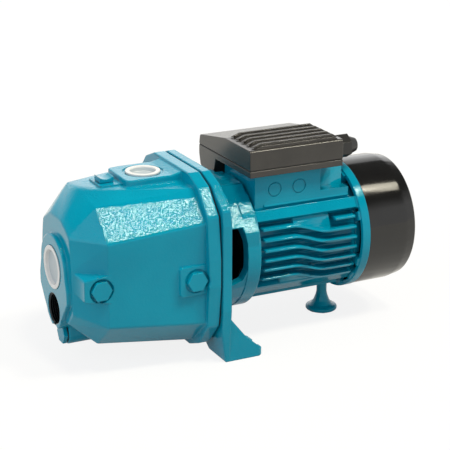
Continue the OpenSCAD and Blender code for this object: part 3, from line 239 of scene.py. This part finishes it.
@dataclass(frozen=True)
class Enamel(Finish):
    """Gloss enamel sprayed on a casting: the sand's grain shows through a wet, slightly rippled skin.

    The grain has one strength on upright faces and another on those that face up, and their limits are
    heights of the face's normal.
    """

    colour: str = "#0097B5"
    roughness: float = 0.1
    dark: str = "#008CAB"
    patch_mm: float = 60.0
    ior: float = 1.5
    gloss: float = 0.2
    gloss_tint: str = "#5FB9C0"
    coat: float = 0.31
    coat_roughness: float = 0.05
    edge_mm: float = 1.4
    peel_mm: float = 5.0
    peel_depth_mm: float = 0.05
    peel_strength: float = 0.5
    sand_mm: float = 0.7
    coarser: float = 3.0
    grain_depth_mm: float = 0.34
    grain_octaves: float = 1.0
    upright_limit: float = 0.2
    upright_strength: float = 0.25
    upward_limit: float = 0.6
    upward_strength: float = 0.9

    def make(self) -> bpy.types.Material:
        """Builds the enamel.

        Returns:
            The material.
        """
        material, tree, principled = self.shader()
        self.shade(tree, principled, self.spread(tree, self.patch_mm), self.dark)
        principled.inputs["IOR"].default_value = self.ior
        principled.inputs["Specular IOR Level"].default_value = self.gloss
        principled.inputs["Specular Tint"].default_value = linear(self.gloss_tint)
        principled.inputs["Coat Weight"].default_value = self.coat
        principled.inputs["Coat Roughness"].default_value = self.coat_roughness
        edge = add_node(tree, "ShaderNodeBevel", {"Radius": self.edge_mm * MM}, samples=EDGE_SAMPLES)
        peel = add_node(tree, "ShaderNodeBump",
                        {"Strength": self.peel_strength, "Distance": self.peel_depth_mm * MM},
                        {"Height": self.spread(tree, self.peel_mm), "Normal": edge.outputs["Normal"]})
        # The paint runs smooth on upright faces and lies thin on those that face up
        geometry = add_node(tree, "ShaderNodeNewGeometry")
        facing = add_node(tree, "ShaderNodeSeparateXYZ", links={0: geometry.outputs["Normal"]})
        thin = add_node(tree, "ShaderNodeMapRange",
                        {"From Min": self.upright_limit, "From Max": self.upward_limit,
                         "To Min": self.upright_strength, "To Max": self.upward_strength},
                        {"Value": facing.outputs["Z"]})
        # Sand grain is finer than a pixel here, so it is drawn three times its size
        sand = self.spread(tree, self.sand_mm * self.coarser, self.grain_octaves)
        grain = add_node(tree, "ShaderNodeBump", {"Distance": self.grain_depth_mm * MM},
                         {"Strength": thin.outputs[0], "Height": sand, "Normal": peel.outputs["Normal"]})
        tree.links.new(grain.outputs["Normal"], principled.inputs["Normal"])
        tree.links.new(grain.outputs["Normal"], principled.inputs["Coat Normal"])
        return material


@dataclass(frozen=True, kw_only=True)
class Moulded(Finish):
    """Plastic, rubber or ceramic from a mould: a fine spark-eroded grain and soft edges."""

    dark: str
    patch_mm: float = 25.0
    patch_octaves: float = 3.0
    ior: float = 1.5
    edge_mm: float = 0.8
    grain_mm: float = 0.1
    coarser: float = 10.0
    grain_depth_mm: float = 0.03
    grain_strength: float = 0.4

    def make(self) -> bpy.types.Material:
        """Builds the moulded material.

        Returns:
            The material.
        """
        material, tree, principled = self.shader()
        self.shade(tree, principled, self.spread(tree, self.patch_mm, self.patch_octaves), self.dark)
        principled.inputs["IOR"].default_value = self.ior
        edge = add_node(tree, "ShaderNodeBevel", {"Radius": self.edge_mm * MM}, samples=EDGE_SAMPLES)
        # A mould's grain of a tenth of a millimetre can't show here, so it is drawn ten times its size
        pits = self.spread(tree, self.grain_mm * self.coarser)
        grain = add_node(tree, "ShaderNodeBump",
                         {"Strength": self.grain_strength, "Distance": self.grain_depth_mm * MM},
                         {"Height": pits, "Normal": edge.outputs["Normal"]})
        tree.links.new(grain.outputs["Normal"], principled.inputs["Normal"])
        return material


@dataclass(frozen=True)
class BareMetal(Finish):
    """Machined metal: fine turning marks drawn out along the cut."""

    mark_mm: float = 0.2
    coarser: float = 4.0
    mark_depth_mm: float = 0.02
    mark_strength: float = 0.3
    stretch: Triple = (1.0, 0.1, 0.1)

    def make(self) -> bpy.types.Material:
        """Builds the metal.

        Returns:
            The material.
        """
        material, tree, principled = self.shader()
        principled.inputs["Metallic"].default_value = 1.0
        # Turning marks of a fifth of a millimetre are too fine to show, so they are drawn four times
        # as wide
        marks = self.spread(tree, self.mark_mm * self.coarser, stretch=self.stretch)
        bump = add_node(tree, "ShaderNodeBump",
                        {"Strength": self.mark_strength, "Distance": self.mark_depth_mm * MM},
                        {"Height": marks})
        tree.links.new(bump.outputs["Normal"], principled.inputs["Normal"])
        return material


class Stack(Enum):
    """Ways in which a piece is built up, by the direction in which its wave texture runs."""

    SHEET = "X"
    WIRE = "DIAGONAL"


@dataclass(frozen=True, kw_only=True)
class Built(Finish):
    """Sheet steel or wire packed side by side, which shows as lines."""

    dark: str
    stack: Stack
    metallic: float
    pitch_mm: float = 1.0
    coarser: float = 6.28
    waver: float = 0.4
    groove_depth_mm: float = 0.1
    groove_strength: float = 0.5

    def make(self) -> bpy.types.Material:
        """Builds the stack.

        Returns:
            The material.
        """
        material, tree, principled = self.shader()
        principled.inputs["Metallic"].default_value = self.metallic
        place = add_node(tree, "ShaderNodeTexCoord")
        # A wave texture runs through 20 radians in a unit. Lines a millimetre apart are too fine to show,
        # so they are drawn about six times as wide
        scale = math.tau / 20 * per_metre(self.pitch_mm * self.coarser)
        lines = add_node(tree, "ShaderNodeTexWave", {"Scale": scale, "Distortion": self.waver},
                         {"Vector": place.outputs["Object"]}, bands_direction=self.stack.value)
        self.shade(tree, principled, lines.outputs["Fac"], self.dark)
        bump = add_node(tree, "ShaderNodeBump",
                        {"Strength": self.groove_strength, "Distance": self.groove_depth_mm * MM},
                        {"Height": lines.outputs["Fac"]})
        tree.links.new(bump.outputs["Normal"], principled.inputs["Normal"])
        return material


# Meshes

def dress(node: str, material: bpy.types.Material) -> None:
    """Gives a CAD node its finish.

    Args:
        node: name of the node.
        material: finish that it gets.
    """
    mesh = frame["nodes"][node].data
    mesh.materials.clear()
    mesh.materials.append(material)
    LOG.info("dressed %s", node)


def publish(name: str, shape: bmesh.types.BMesh, material: bpy.types.Material, body: str,
            smooth_deg: float = SMOOTH_DEG) -> bpy.types.Object:
    """Turns a finished bmesh into a piece that rides on a body.

    Args:
        name: name of the piece.
        shape: its mesh, which is freed.
        material: its finish.
        body: CAD body that it moves with.
        smooth_deg: edges that turn more than this stay sharp.

    Returns:
        The piece.
    """
    mesh = bpy.data.meshes.new(name)
    shape.to_mesh(mesh)
    shape.free()
    mesh.polygons.foreach_set("use_smooth", [True] * len(mesh.polygons))
    mesh.set_sharp_from_angle(angle=math.radians(smooth_deg))
    mesh.materials.append(material)
    piece = bpy.data.objects.new(name, mesh)
    bpy.context.scene.collection.objects.link(piece)
    # Flat faces keep their own shading beside a rounded edge
    even = piece.modifiers.new("even_shading", "WEIGHTED_NORMAL")
    even.keep_sharp = True
    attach(piece, body)
    LOG.info("built %s with %d faces", name, len(mesh.polygons))
    return piece


@dataclass(frozen=True)
class Rounding:
    """Rounds sharp edges over, and leaves those sharp where the rounding would tear the surface.

    Lengths are in metres. A share is one of the radius, or of its square for an area. An edge is rounded
    if it turns by turn_deg and is longer than short_share. A point is off its surface past stray_share,
    and a face smaller than speck_share can't be seen.
    """

    radius: float
    segments: int = 2
    turn_deg: float = 32.0
    tries: int = 6
    short_share: float = 0.3
    stray_share: float = 0.6
    speck_share: float = 0.002
    apart_share: float = 0.3
    reach_share: float = 1.5
    least_facing: float = 0.1
    most_filled: float = 1.03
    many_corners: int = 5

    def edges_beside(self, source: bmesh.types.BMesh, surface: BVHTree, points: list[Vector]) -> set[int]:
        """Finds the edges that pass near any of some points.

        Args:
            source: mesh that has the edges.
            surface: search tree of that mesh.
            points: places to look round.

        Returns:
            The numbers of the edges.
        """
        found = set()
        reach = self.reach_share * self.radius
        for point in points:
            for _, _, number, _ in surface.find_nearest_range(point, reach):
                for edge in source.faces[number].edges:
                    start, end = (v.co for v in edge.verts)
                    foot, share = intersect_point_line(point, start, end)
                    foot = start if share < 0 else end if share > 1 else foot
                    if (foot - point).length < reach:
                        found.add(edge.index)
        return found

    def turned(self, face: bmesh.types.BMFace, surface: BVHTree) -> bool:
        """Tells whether a face is inside out or crosses itself.

        Args:
            face: face of the rounded mesh.
            surface: search tree of the mesh before rounding.

        Returns:
            True for a face of few corners that looks away from the old surface, or one of many corners
            that fills with more than its own area.
        """
        if len(face.verts) < self.many_corners:
            old_normal = surface.find_nearest(face.calc_center_median())[1]
            return face.normal.dot(old_normal) < self.least_facing
        corners = [v.co for v in face.verts]
        filled = sum((corners[b] - corners[a]).cross(corners[c] - corners[a]).length / 2
                     for a, b, c in tessellate_polygon([corners]))
        return filled > self.most_filled * face.calc_area()

    def torn(self, shape: bmesh.types.BMesh, surface: BVHTree) -> list[Vector]:
        """Finds where rounding has pulled a mesh off its old surface or turned it inside out.

        Args:
            shape: rounded mesh.
            surface: search tree of the mesh before rounding.

        Returns:
            The places, one for each cell of a grid of apart_share.
        """
        stray = self.stray_share * self.radius
        places = [v.co for v in shape.verts if surface.find_nearest(v.co)[3] > stray]
        for face in shape.faces:
            if face.calc_area() > self.speck_share * self.radius ** 2 and self.turned(face, surface):
                places += [face.calc_center_median(), *(v.co for v in face.verts)]
        step = self.apart_share * self.radius
        return list({tuple(round(x / step) for x in place): place.copy() for place in places}.values())

    def apply(self, source: bmesh.types.BMesh) -> bmesh.types.BMesh:
        """Rounds a copy of a mesh, again and again with fewer edges until nothing tears.

        Args:
            source: mesh with sharp edges, which is kept.

        Returns:
            The rounded copy, or a plain one if it tears to the last.
        """
        surface = BVHTree.FromBMesh(source)
        source.edges.index_update()
        source.faces.ensure_lookup_table()
        turn, shortest = math.radians(self.turn_deg), self.short_share * self.radius
        barred: set[int] = set()
        for _ in range(self.tries):
            shape = source.copy()
            sharp = [e for e in shape.edges if e.is_manifold and e.index not in barred
                     and e.calc_face_angle(0.0) > turn and e.calc_length() > shortest]
            bmesh.ops.bevel(shape, geom=sharp, offset=self.radius, offset_type="OFFSET", affect="EDGES",
                            segments=self.segments, profile=0.5, clamp_overlap=False, material=-1)
            more = self.edges_beside(source, surface, self.torn(shape, surface)) - barred
            if not more:
                return shape
            barred |= more
            shape.free()
        return source.copy()


def softened(node: str, radius_mm: float, material: bpy.types.Material, body: str,
             smooth_deg: float = SMOOTH_DEG) -> bpy.types.Object:
    """Stands a copy of a CAD node in its place, with its sharp edges rounded over.

    Args:
        node: name of the node.
        radius_mm: radius of the edges.
        material: its finish.
        body: CAD body that it moves with.
        smooth_deg: edges that turn more than this still look sharp afterwards.

    Returns:
        The piece.
    """
    same_point, same_plane = 0.01 * MM, math.radians(0.5)
    source = bmesh.new()
    source.from_mesh(frame["nodes"][node].data)
    bmesh.ops.remove_doubles(source, verts=source.verts, dist=same_point)
    bmesh.ops.dissolve_limit(source, angle_limit=same_plane, verts=source.verts, edges=source.edges)
    shape = Rounding(radius_mm * MM).apply(source)
    source.free()
    piece = publish(node + "_piece", shape, material, body, smooth_deg)
    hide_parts(node)
    return piece


@dataclass(frozen=True)
class PortThread:
    """The pipe thread inside a port: a triangular ridge of eleven turns to the inch, wound on the wall.

    Its first turn lies start_mm out from the mount's place, and its foot is sunk in the wall. The paint stops
    a set width outside the wall, and the unpainted bore within is coloured darker than iron, partly as painted
    shade.
    """

    mount: str
    start_mm: float
    unpainted_shade_mm: float = 0.6
    unpainted_shade_depth_mm: float = 100.0
    pitch_mm: float = 2.31
    depth_mm: float = 1.3
    sunk_mm: float = 0.3
    foot_share: float = 0.92
    crest_share: float = 0.1
    steps: int = 48

    @property
    def axis(self) -> Vector:
        """The way out of the port."""
        return Vector(MOUNTS[self.mount]["axis"])

    @property
    def mouth(self) -> Vector:
        """Where the first turn lies, in metres."""
        return Vector(MOUNTS[self.mount]["pos_m"]) + self.axis * self.start_mm * MM

    def unpainted_shaded_bore(self, colour: str) -> Zone:
        """Marks the part of the casting that stays without paint and is coloured darker, partly as painted shade.

        Args:
            colour: hex colour of the unpainted bore, darker than iron, partly as painted shade.

        Returns:
            A zone centred on the mouth, as wide as the bore and its edge.
        """
        across_mm = MOUNTS[self.mount]["dims"]["r_mm"] + self.unpainted_shade_mm
        half_mm = tuple(self.unpainted_shade_depth_mm if along else across_mm for along in self.axis)
        return Zone(colour, tuple(self.mouth / MM), half_mm)

    def build(self, material: bpy.types.Material) -> bpy.types.Object:
        """Winds the ridge.

        Args:
            material: finish of the port.

        Returns:
            The piece.
        """
        size = MOUNTS[self.mount]["dims"]
        turns = int(size["length_mm"] / self.pitch_mm) - 1
        foot = self.pitch_mm * self.foot_share
        wall, crest = size["r_mm"] + self.sunk_mm, size["r_mm"] - self.depth_mm
        crest_from, crest_to = foot * (1 - self.crest_share) / 2, foot * (1 + self.crest_share) / 2
        corners = [(wall, 0.0), (crest, crest_from), (crest, crest_to), (wall, foot)]
        shape = bmesh.new()
        ring = [shape.verts.new((r * MM, 0.0, h * MM)) for r, h in corners]
        face = shape.faces.new(ring)
        bmesh.ops.spin(shape, geom=[face, *face.edges, *face.verts], cent=(0, 0, 0), axis=(0, 0, 1),
                       dvec=(0, 0, self.pitch_mm * MM / self.steps), angle=math.tau * turns,
                       steps=self.steps * turns, use_merge=False, use_duplicate=False)
        bmesh.ops.recalc_face_normals(shape, faces=shape.faces)
        turn = Vector((0, 0, -1)).rotation_difference(self.axis).to_matrix().to_4x4()
        bmesh.ops.transform(shape, verts=shape.verts, matrix=Matrix.Translation(self.mouth) @ turn)
        return publish(self.mount + "_thread", shape, material, "pump")


PORTS = (PortThread("lower_port", start_mm=12.0), PortThread("suction_port", start_mm=9.5, unpainted_shade_mm=0.7),
         PortThread("discharge_port", start_mm=9.8))


@dataclass
class Palette:
    """Every finish of the pump, made once, with the places where a piece changes its colour or has shade painted
    on.
    """

    # Sizes and zones of painted shade: inside the bracket's neck, on the floor between the fins, and in the caps'
    # middles
    neck_shade_mm: float = 57.0
    fin_floor_shade_mm: float = 63.5
    fin_floor_shade_fade: float = 0.08
    suction_recess_shade: Zone = Zone("#B9C5CC", (-180.6, 0.0, SHAFT_MM), (2.6, 18.5, 18.5))
    discharge_recess_shade: Zone = Zone("#B9C5CC", (-89.0, 0.0, 175.6), (15.5, 15.5, 2.6))

    def __post_init__(self) -> None:
        """Makes the materials."""
        self.paint()
        self.mould()
        self.machine()

    def paint(self) -> None:
        """Makes the painted castings and plugs."""
        # Gloss enamel on sand-cast iron: a wet teal skin with a speckled shine. The unpainted bores are coloured
        # near black, darker than iron, partly as painted shade
        self.casing = Enamel("teal_enamel_on_cast_iron",
                             zones=tuple(port.unpainted_shaded_bore("#1B2125") for port in PORTS)).make()
        # The bracket is cast and sprayed alike. Near black is painted inside its neck as painted shade, so its
        # window looks black
        neck_shade = Zone.round_shaft("#0C0D0E", "motor_bracket", self.neck_shade_mm)
        self.bracket = Enamel("teal_enamel_on_cast_bracket", zones=(neck_shade,)).make()
        # Aluminium from a metal mould shows less grain. The floor between the fins is painted a darker teal, as
        # painted shade
        fin_floor_shade = Zone.round_shaft("#007A98", "motor_housing", self.fin_floor_shade_mm, self.fin_floor_shade_fade)
        self.motor = Enamel("teal_enamel_on_cast_aluminium", grain_depth_mm=0.2, edge_mm=0.9,
                            zones=(fin_floor_shade,)).make()
        # Turned steel under the same enamel is nearly smooth
        self.plug = Enamel("teal_enamel_on_steel", grain_depth_mm=0.1, edge_mm=0.8).make()

    def mould(self) -> None:
        """Makes the plastics, the rubber and the ceramic."""
        # Soft polyethylene is milky and matt. Its thin recessed middle is coloured greyer, as painted shade of the
        # dark port behind it
        self.cap = Moulded("white_polyethylene", "#EAEBEB", 0.42, dark="#E0E2E4", grain_depth_mm=0.01,
                           zones=(self.suction_recess_shade, self.discharge_recess_shade)).make()
        # Glass-filled nylon is a warm dark grey with a silky shine
        self.box = Moulded("grey_glass_filled_nylon", "#383633", 0.25, dark="#2F2D2B").make()
        # Polished polypropylene mirrors like lacquer, with a slow ripple in place of a grain
        self.cover = Moulded("black_gloss_polypropylene", "#151515", 0.12, dark="#0F0F0F", grain_mm=6.0,
                             coarser=1.0, grain_depth_mm=0.02, edge_mm=1.0, ior=1.52).make()
        # Unfilled nylon is black with a dull shine
        self.gland = Moulded("black_nylon", "#1E1E1E", 0.35, dark="#171717").make()
        # Inner mouldings are a plain mid grey, neither glossy nor matt
        self.inner_plastic = Moulded("grey_polyphenylene_oxide", "#727270", 0.45, dark="#626260").make()
        # Lapped ceramic is cream with a glassy shine
        self.ceramic = Moulded("lapped_ceramic", "#CEC9BD", 0.2, dark="#C4BFB3").make()
        # Moulded rubber is dull black
        self.rubber = Moulded("black_nitrile_rubber", "#181818", 0.6, dark="#111111").make()

    def machine(self) -> None:
        """Makes the bare metals, the laminations and the windings."""
        # Iron cut by a tap, with a broken shine along the thread. It is coloured far darker than iron, partly as
        # painted shade inside the ports
        self.cut_iron_and_shade = BareMetal("cut_cast_iron_and_port_shade", "#2B3033", 0.42).make()
        # Zinc plating is bright with a bluish white shine
        self.steel = BareMetal("zinc_plated_steel", "#B9BCBE", 0.3).make()
        # Cut brass is warm yellow and shows its tool marks
        self.brass = BareMetal("machined_brass", "#C9A55A", 0.28).make()
        # Drawn aluminium is pale and satin
        self.can = BareMetal("drawn_aluminium", "#C8CACC", 0.35).make()
        # Stacked sheets show their edges as dark and light lines across the shaft
        self.sheet = Built("stacked_lamination_steel", "#6A6B6D", 0.45, dark="#2A2A2A", stack=Stack.SHEET,
                           metallic=0.8).make()
        # Varnish makes copper wire reddish brown and takes some of its metal shine away
        self.wire = Built("varnished_copper_wire", "#B5652E", 0.35, dark="#5A2A10", stack=Stack.WIRE,
                          metallic=0.5).make()


# Sub-assemblies

@dataclass
class PumpEnd:
    """The casing with its ports, caps and plugs."""

    palette: Palette
    casing_edge_mm: float = 1.2
    cap_edge_mm: float = 0.25
    plug_edge_mm: float = 0.6

    def build(self) -> None:
        """Builds and dresses the pump end."""
        looks = self.palette
        softened("pump_casing", self.casing_edge_mm, looks.casing, "pump", CAST_SMOOTH_DEG)
        softened("suction_cap", self.cap_edge_mm, looks.cap, "suction_cap")
        softened("discharge_cap", self.cap_edge_mm, looks.cap, "discharge_cap")
        softened("priming_plug", self.plug_edge_mm, looks.plug, "priming_plug")
        softened("side_plugs", self.plug_edge_mm, looks.plug, "pump")
        softened("drain_plug", self.plug_edge_mm, looks.plug, "drain_plug")
        for node in ("priming_washer", "drain_washer", "casing_gasket"):
            dress(node, looks.rubber)
        # The side plugs were sprayed in place, with their washers
        dress("side_plug_washers", looks.plug)
        for port in PORTS:
            port.build(looks.cut_iron_and_shade)


@dataclass
class Bracket:
    """The cast bracket with its foot, and the bolts that hold the casing."""

    palette: Palette
    edge_mm: float = 1.0
    bolt_edge_mm: float = 0.4

    def build(self) -> None:
        """Builds and dresses the bracket."""
        looks = self.palette
        softened("motor_bracket", self.edge_mm, looks.bracket, "pump", CAST_SMOOTH_DEG)
        softened("casing_bolts", self.bolt_edge_mm, looks.plug, "pump")


@dataclass
class Motor:
    """The finned housing, the rear shield and the support foot."""

    palette: Palette
    edge_mm: float = 0.7

    def build(self) -> None:
        """Builds and dresses the motor."""
        for node in ("motor_housing", "rear_end_shield", "support_foot"):
            softened(node, self.edge_mm, self.palette.motor, "pump")
        for node in ("tie_bolts", "wave_washer"):
            dress(node, self.palette.steel)


@dataclass
class FanEnd:
    """The fan and its cover."""

    palette: Palette
    cover_edge_mm: float = 0.5
    fan_edge_mm: float = 0.4

    def build(self) -> None:
        """Builds and dresses the fan end."""
        looks = self.palette
        softened("fan_cover", self.cover_edge_mm, looks.cover, "pump")
        softened("cooling_fan", self.fan_edge_mm, looks.inner_plastic, "rotor")
        dress("fan_clip", looks.steel)


@dataclass
class TerminalBox:
    """The terminal box with its lid, gland and inner pieces."""

    palette: Palette
    edge_mm: float = 0.8
    gland_edge_mm: float = 0.4

    def build(self) -> None:
        """Builds and dresses the box."""
        looks = self.palette
        for node in ("box_base", "box_lid"):
            softened(node, self.edge_mm, looks.box, "pump")
        for node in ("cable_gland", "gland_nut"):
            softened(node, self.gland_edge_mm, looks.gland, "pump")
        for node in ("gland_seal", "box_gasket"):
            dress(node, looks.rubber)
        dress("box_screws", looks.steel)
        dress("capacitor", looks.can)
        dress("terminal_block", looks.inner_plastic)


@dataclass
class Inside:
    """What turns or seals inside the pump and the motor."""

    palette: Palette

    def build(self) -> None:
        """Dresses the inner pieces."""
        looks = self.palette
        finishes = {
            looks.brass: ["impeller"],
            looks.inner_plastic: ["diffuser"],
            looks.ceramic: ["seal_seat", "seal_ring"],
            looks.rubber: ["seal_bellows", "slinger"],
            looks.sheet: ["rotor_core", "stator_core"],
            looks.wire: ["front_winding", "rear_winding"],
            looks.steel: ["impeller_key", "impeller_nut", "shaft", "front_bearing_outer",
                          "front_bearing_inner", "front_bearing_balls", "rear_bearing_outer",
                          "rear_bearing_inner", "rear_bearing_balls"]}
        for material, nodes in finishes.items():
            for node in nodes:
                dress(node, material)


# Studio

@dataclass(frozen=True)
class Lamp:
    """A broad soft lamp far away, with its light on a surface that faces it and its width in the sky."""

    name: str
    toward: Triple
    strength: float
    spread_deg: float
    colour: str

    def hang(self) -> None:
        """Hangs the lamp."""
        data = bpy.data.lights.new(self.name, "SUN")
        data.energy, data.angle = self.strength, math.radians(self.spread_deg)
        data.color = linear(self.colour)[:3]
        sun = bpy.data.objects.new(self.name, data)
        sun.rotation_mode = "QUATERNION"
        sun.rotation_quaternion = Vector(self.toward).to_track_quat("Z", "Y")
        bpy.context.scene.collection.objects.link(sun)


@dataclass
class Studio:
    """A pale floor, soft light and the camera.

    The floor has one tone for the eye and one for the light that it sends back, and glows for the eye and
    in reflections. The surroundings are white up to wall_top and dim from ceiling, as heights of a ray.
    """

    eye_mm: Triple = (-625.6, -1254.4, 585.2)
    turn_deg: float = 26.1
    tilt_deg: float = 18.93
    lens_mm: float = 118.4
    sensor_mm: float = 36.0
    shift: tuple[float, float] = (0.0211, 0.0098)
    nearest_m: float = 0.05
    farthest_m: float = 60.0
    floor_half_m: float = 12.0
    paper_tone: float = 0.9
    bounce_tone: float = 0.42
    seen_glow: float = 0.6
    mirrored_glow: float = 0.25
    even_light: float = 0.5
    ceiling_light: float = 0.12
    wall_top: float = 0.38
    ceiling: float = 0.62
    lamps: tuple[Lamp, ...] = (
        # The strips lie where the casing's panel, its flange and bracket, and the fan cover mirror them
        Lamp("overhead_strip_front", (0.10, -0.345, 0.933), 1.1, 10.0, "#FFF8E2"),
        Lamp("overhead_strip_middle", (0.425, -0.345, 0.837), 0.95, 9.0, "#FFF8E2"),
        Lamp("overhead_strip_back", (0.53, -0.289, 0.797), 0.45, 14.0, "#FFF8E2"),
        Lamp("front_box", (-0.85, -0.2, 0.4), 0.7, 50.0, "#FFFFFF"),
        Lamp("rear_box", (0.41, 0.85, 0.36), 0.25, 40.0, "#FFFFFF"))

    def camera(self) -> None:
        """Sets up the camera at the photograph's angle."""
        data = bpy.data.cameras.new("camera")
        data.sensor_width, data.lens = self.sensor_mm, self.lens_mm
        data.shift_x, data.shift_y = self.shift
        data.clip_start, data.clip_end = self.nearest_m, self.farthest_m
        eye = bpy.data.objects.new("camera", data)
        eye.location = Vector(self.eye_mm) * MM
        eye.rotation_euler = (math.radians(90 - self.tilt_deg), 0, -math.radians(self.turn_deg))
        bpy.context.scene.collection.objects.link(eye)
        bpy.context.scene.camera = eye

    def shown(self, tree: bpy.types.NodeTree, path: bpy.types.Node) -> bpy.types.NodeSocket:
        """Picks the rays that show the background.

        Args:
            tree: node tree that takes the nodes.
            path: its Light Path node.

        Returns:
            One for a ray from the camera, a reflection or a clear piece, else zero.
        """
        rays = path.outputs
        eye = add_node(tree, "ShaderNodeMath", links={0: rays["Is Camera Ray"], 1: rays["Is Glossy Ray"]},
                       operation="MAXIMUM")
        every = add_node(tree, "ShaderNodeMath", links={0: eye.outputs[0], 1: rays["Is Transmission Ray"]},
                         operation="MAXIMUM")
        return every.outputs[0]

    def paper(self) -> bpy.types.Material:
        """Makes white paper that keeps a faint shadow.

        Returns:
            The material.
        """
        material = bpy.data.materials.new("white_paper_floor")
        material.use_nodes = True
        tree = material.node_tree
        tree.nodes.clear()
        path = add_node(tree, "ShaderNodeLightPath")
        # The pump gets a grey floor's light back, and the eye and every reflection get white paper
        tone = add_node(tree, "ShaderNodeMapRange", {"To Min": self.paper_tone, "To Max": self.bounce_tone},
                        {"Value": path.outputs["Is Diffuse Ray"]})
        matt = add_node(tree, "ShaderNodeBsdfDiffuse", links={"Color": tone.outputs[0]})
        white = add_node(tree, "ShaderNodeEmission", {"Color": linear("#FFFFFF"), "Strength": 1.0})
        mirrored = add_node(tree, "ShaderNodeMath", {1: self.mirrored_glow}, {0: self.shown(tree, path)},
                            operation="MULTIPLY")
        seen = add_node(tree, "ShaderNodeMath", {1: self.seen_glow},
                        {0: path.outputs["Is Camera Ray"], 2: mirrored.outputs[0]}, operation="MULTIPLY_ADD")
        mixed = add_node(tree, "ShaderNodeMixShader",
                         links={0: seen.outputs[0], 1: matt.outputs[0], 2: white.outputs[0]})
        add_node(tree, "ShaderNodeOutputMaterial", links={"Surface": mixed.outputs[0]})
        return material

    def floor(self) -> None:
        """Lays the floor."""
        shape = bmesh.new()
        bmesh.ops.create_grid(shape, x_segments=1, y_segments=1, size=self.floor_half_m)
        mesh = bpy.data.meshes.new("floor")
        shape.to_mesh(mesh)
        shape.free()
        mesh.materials.append(self.paper())
        plane = bpy.data.objects.new("floor", mesh)
        bpy.context.scene.collection.objects.link(plane)

    def world(self) -> None:
        """Surrounds the pump with white up to eye level, under a dim ceiling, and lights it evenly."""
        sky = bpy.data.worlds.new("studio")
        bpy.context.scene.world = sky
        sky.use_nodes = True
        tree = sky.node_tree
        tree.nodes.clear()
        path = add_node(tree, "ShaderNodeLightPath")
        place = add_node(tree, "ShaderNodeTexCoord")
        way = add_node(tree, "ShaderNodeSeparateXYZ", links={0: place.outputs["Generated"]})
        above = add_node(tree, "ShaderNodeMapRange",
                         {"From Min": self.wall_top, "From Max": self.ceiling, "To Min": 1.0,
                          "To Max": self.ceiling_light}, {"Value": way.outputs["Z"]})
        lit = add_node(tree, "ShaderNodeMix", {"A": self.even_light},
                       {"Factor": self.shown(tree, path), "B": above.outputs[0]})
        level = add_node(tree, "ShaderNodeMath", links={0: lit.outputs[0], 1: path.outputs["Is Camera Ray"]},
                         operation="MAXIMUM")
        glow = add_node(tree, "ShaderNodeBackground", {"Color": linear("#FFFFFF")},
                        {"Strength": level.outputs[0]})
        add_node(tree, "ShaderNodeOutputWorld", links={"Surface": glow.outputs[0]})

    def build(self) -> None:
        """Sets the whole studio up."""
        self.camera()
        self.floor()
        for lamp in self.lamps:
            lamp.hang()
        self.world()
        bpy.context.scene.view_settings.view_transform = "Standard"


def main() -> None:
    """Builds every sub-assembly in order."""
    logging.basicConfig(level=logging.INFO, format="%(name)s: %(message)s")
    palette = Palette()
    Studio().build()
    for part in (PumpEnd(palette), Bracket(palette), Motor(palette), FanEnd(palette), TerminalBox(palette),
                 Inside(palette)):
        part.build()


if __name__ == "__main__":
    main()
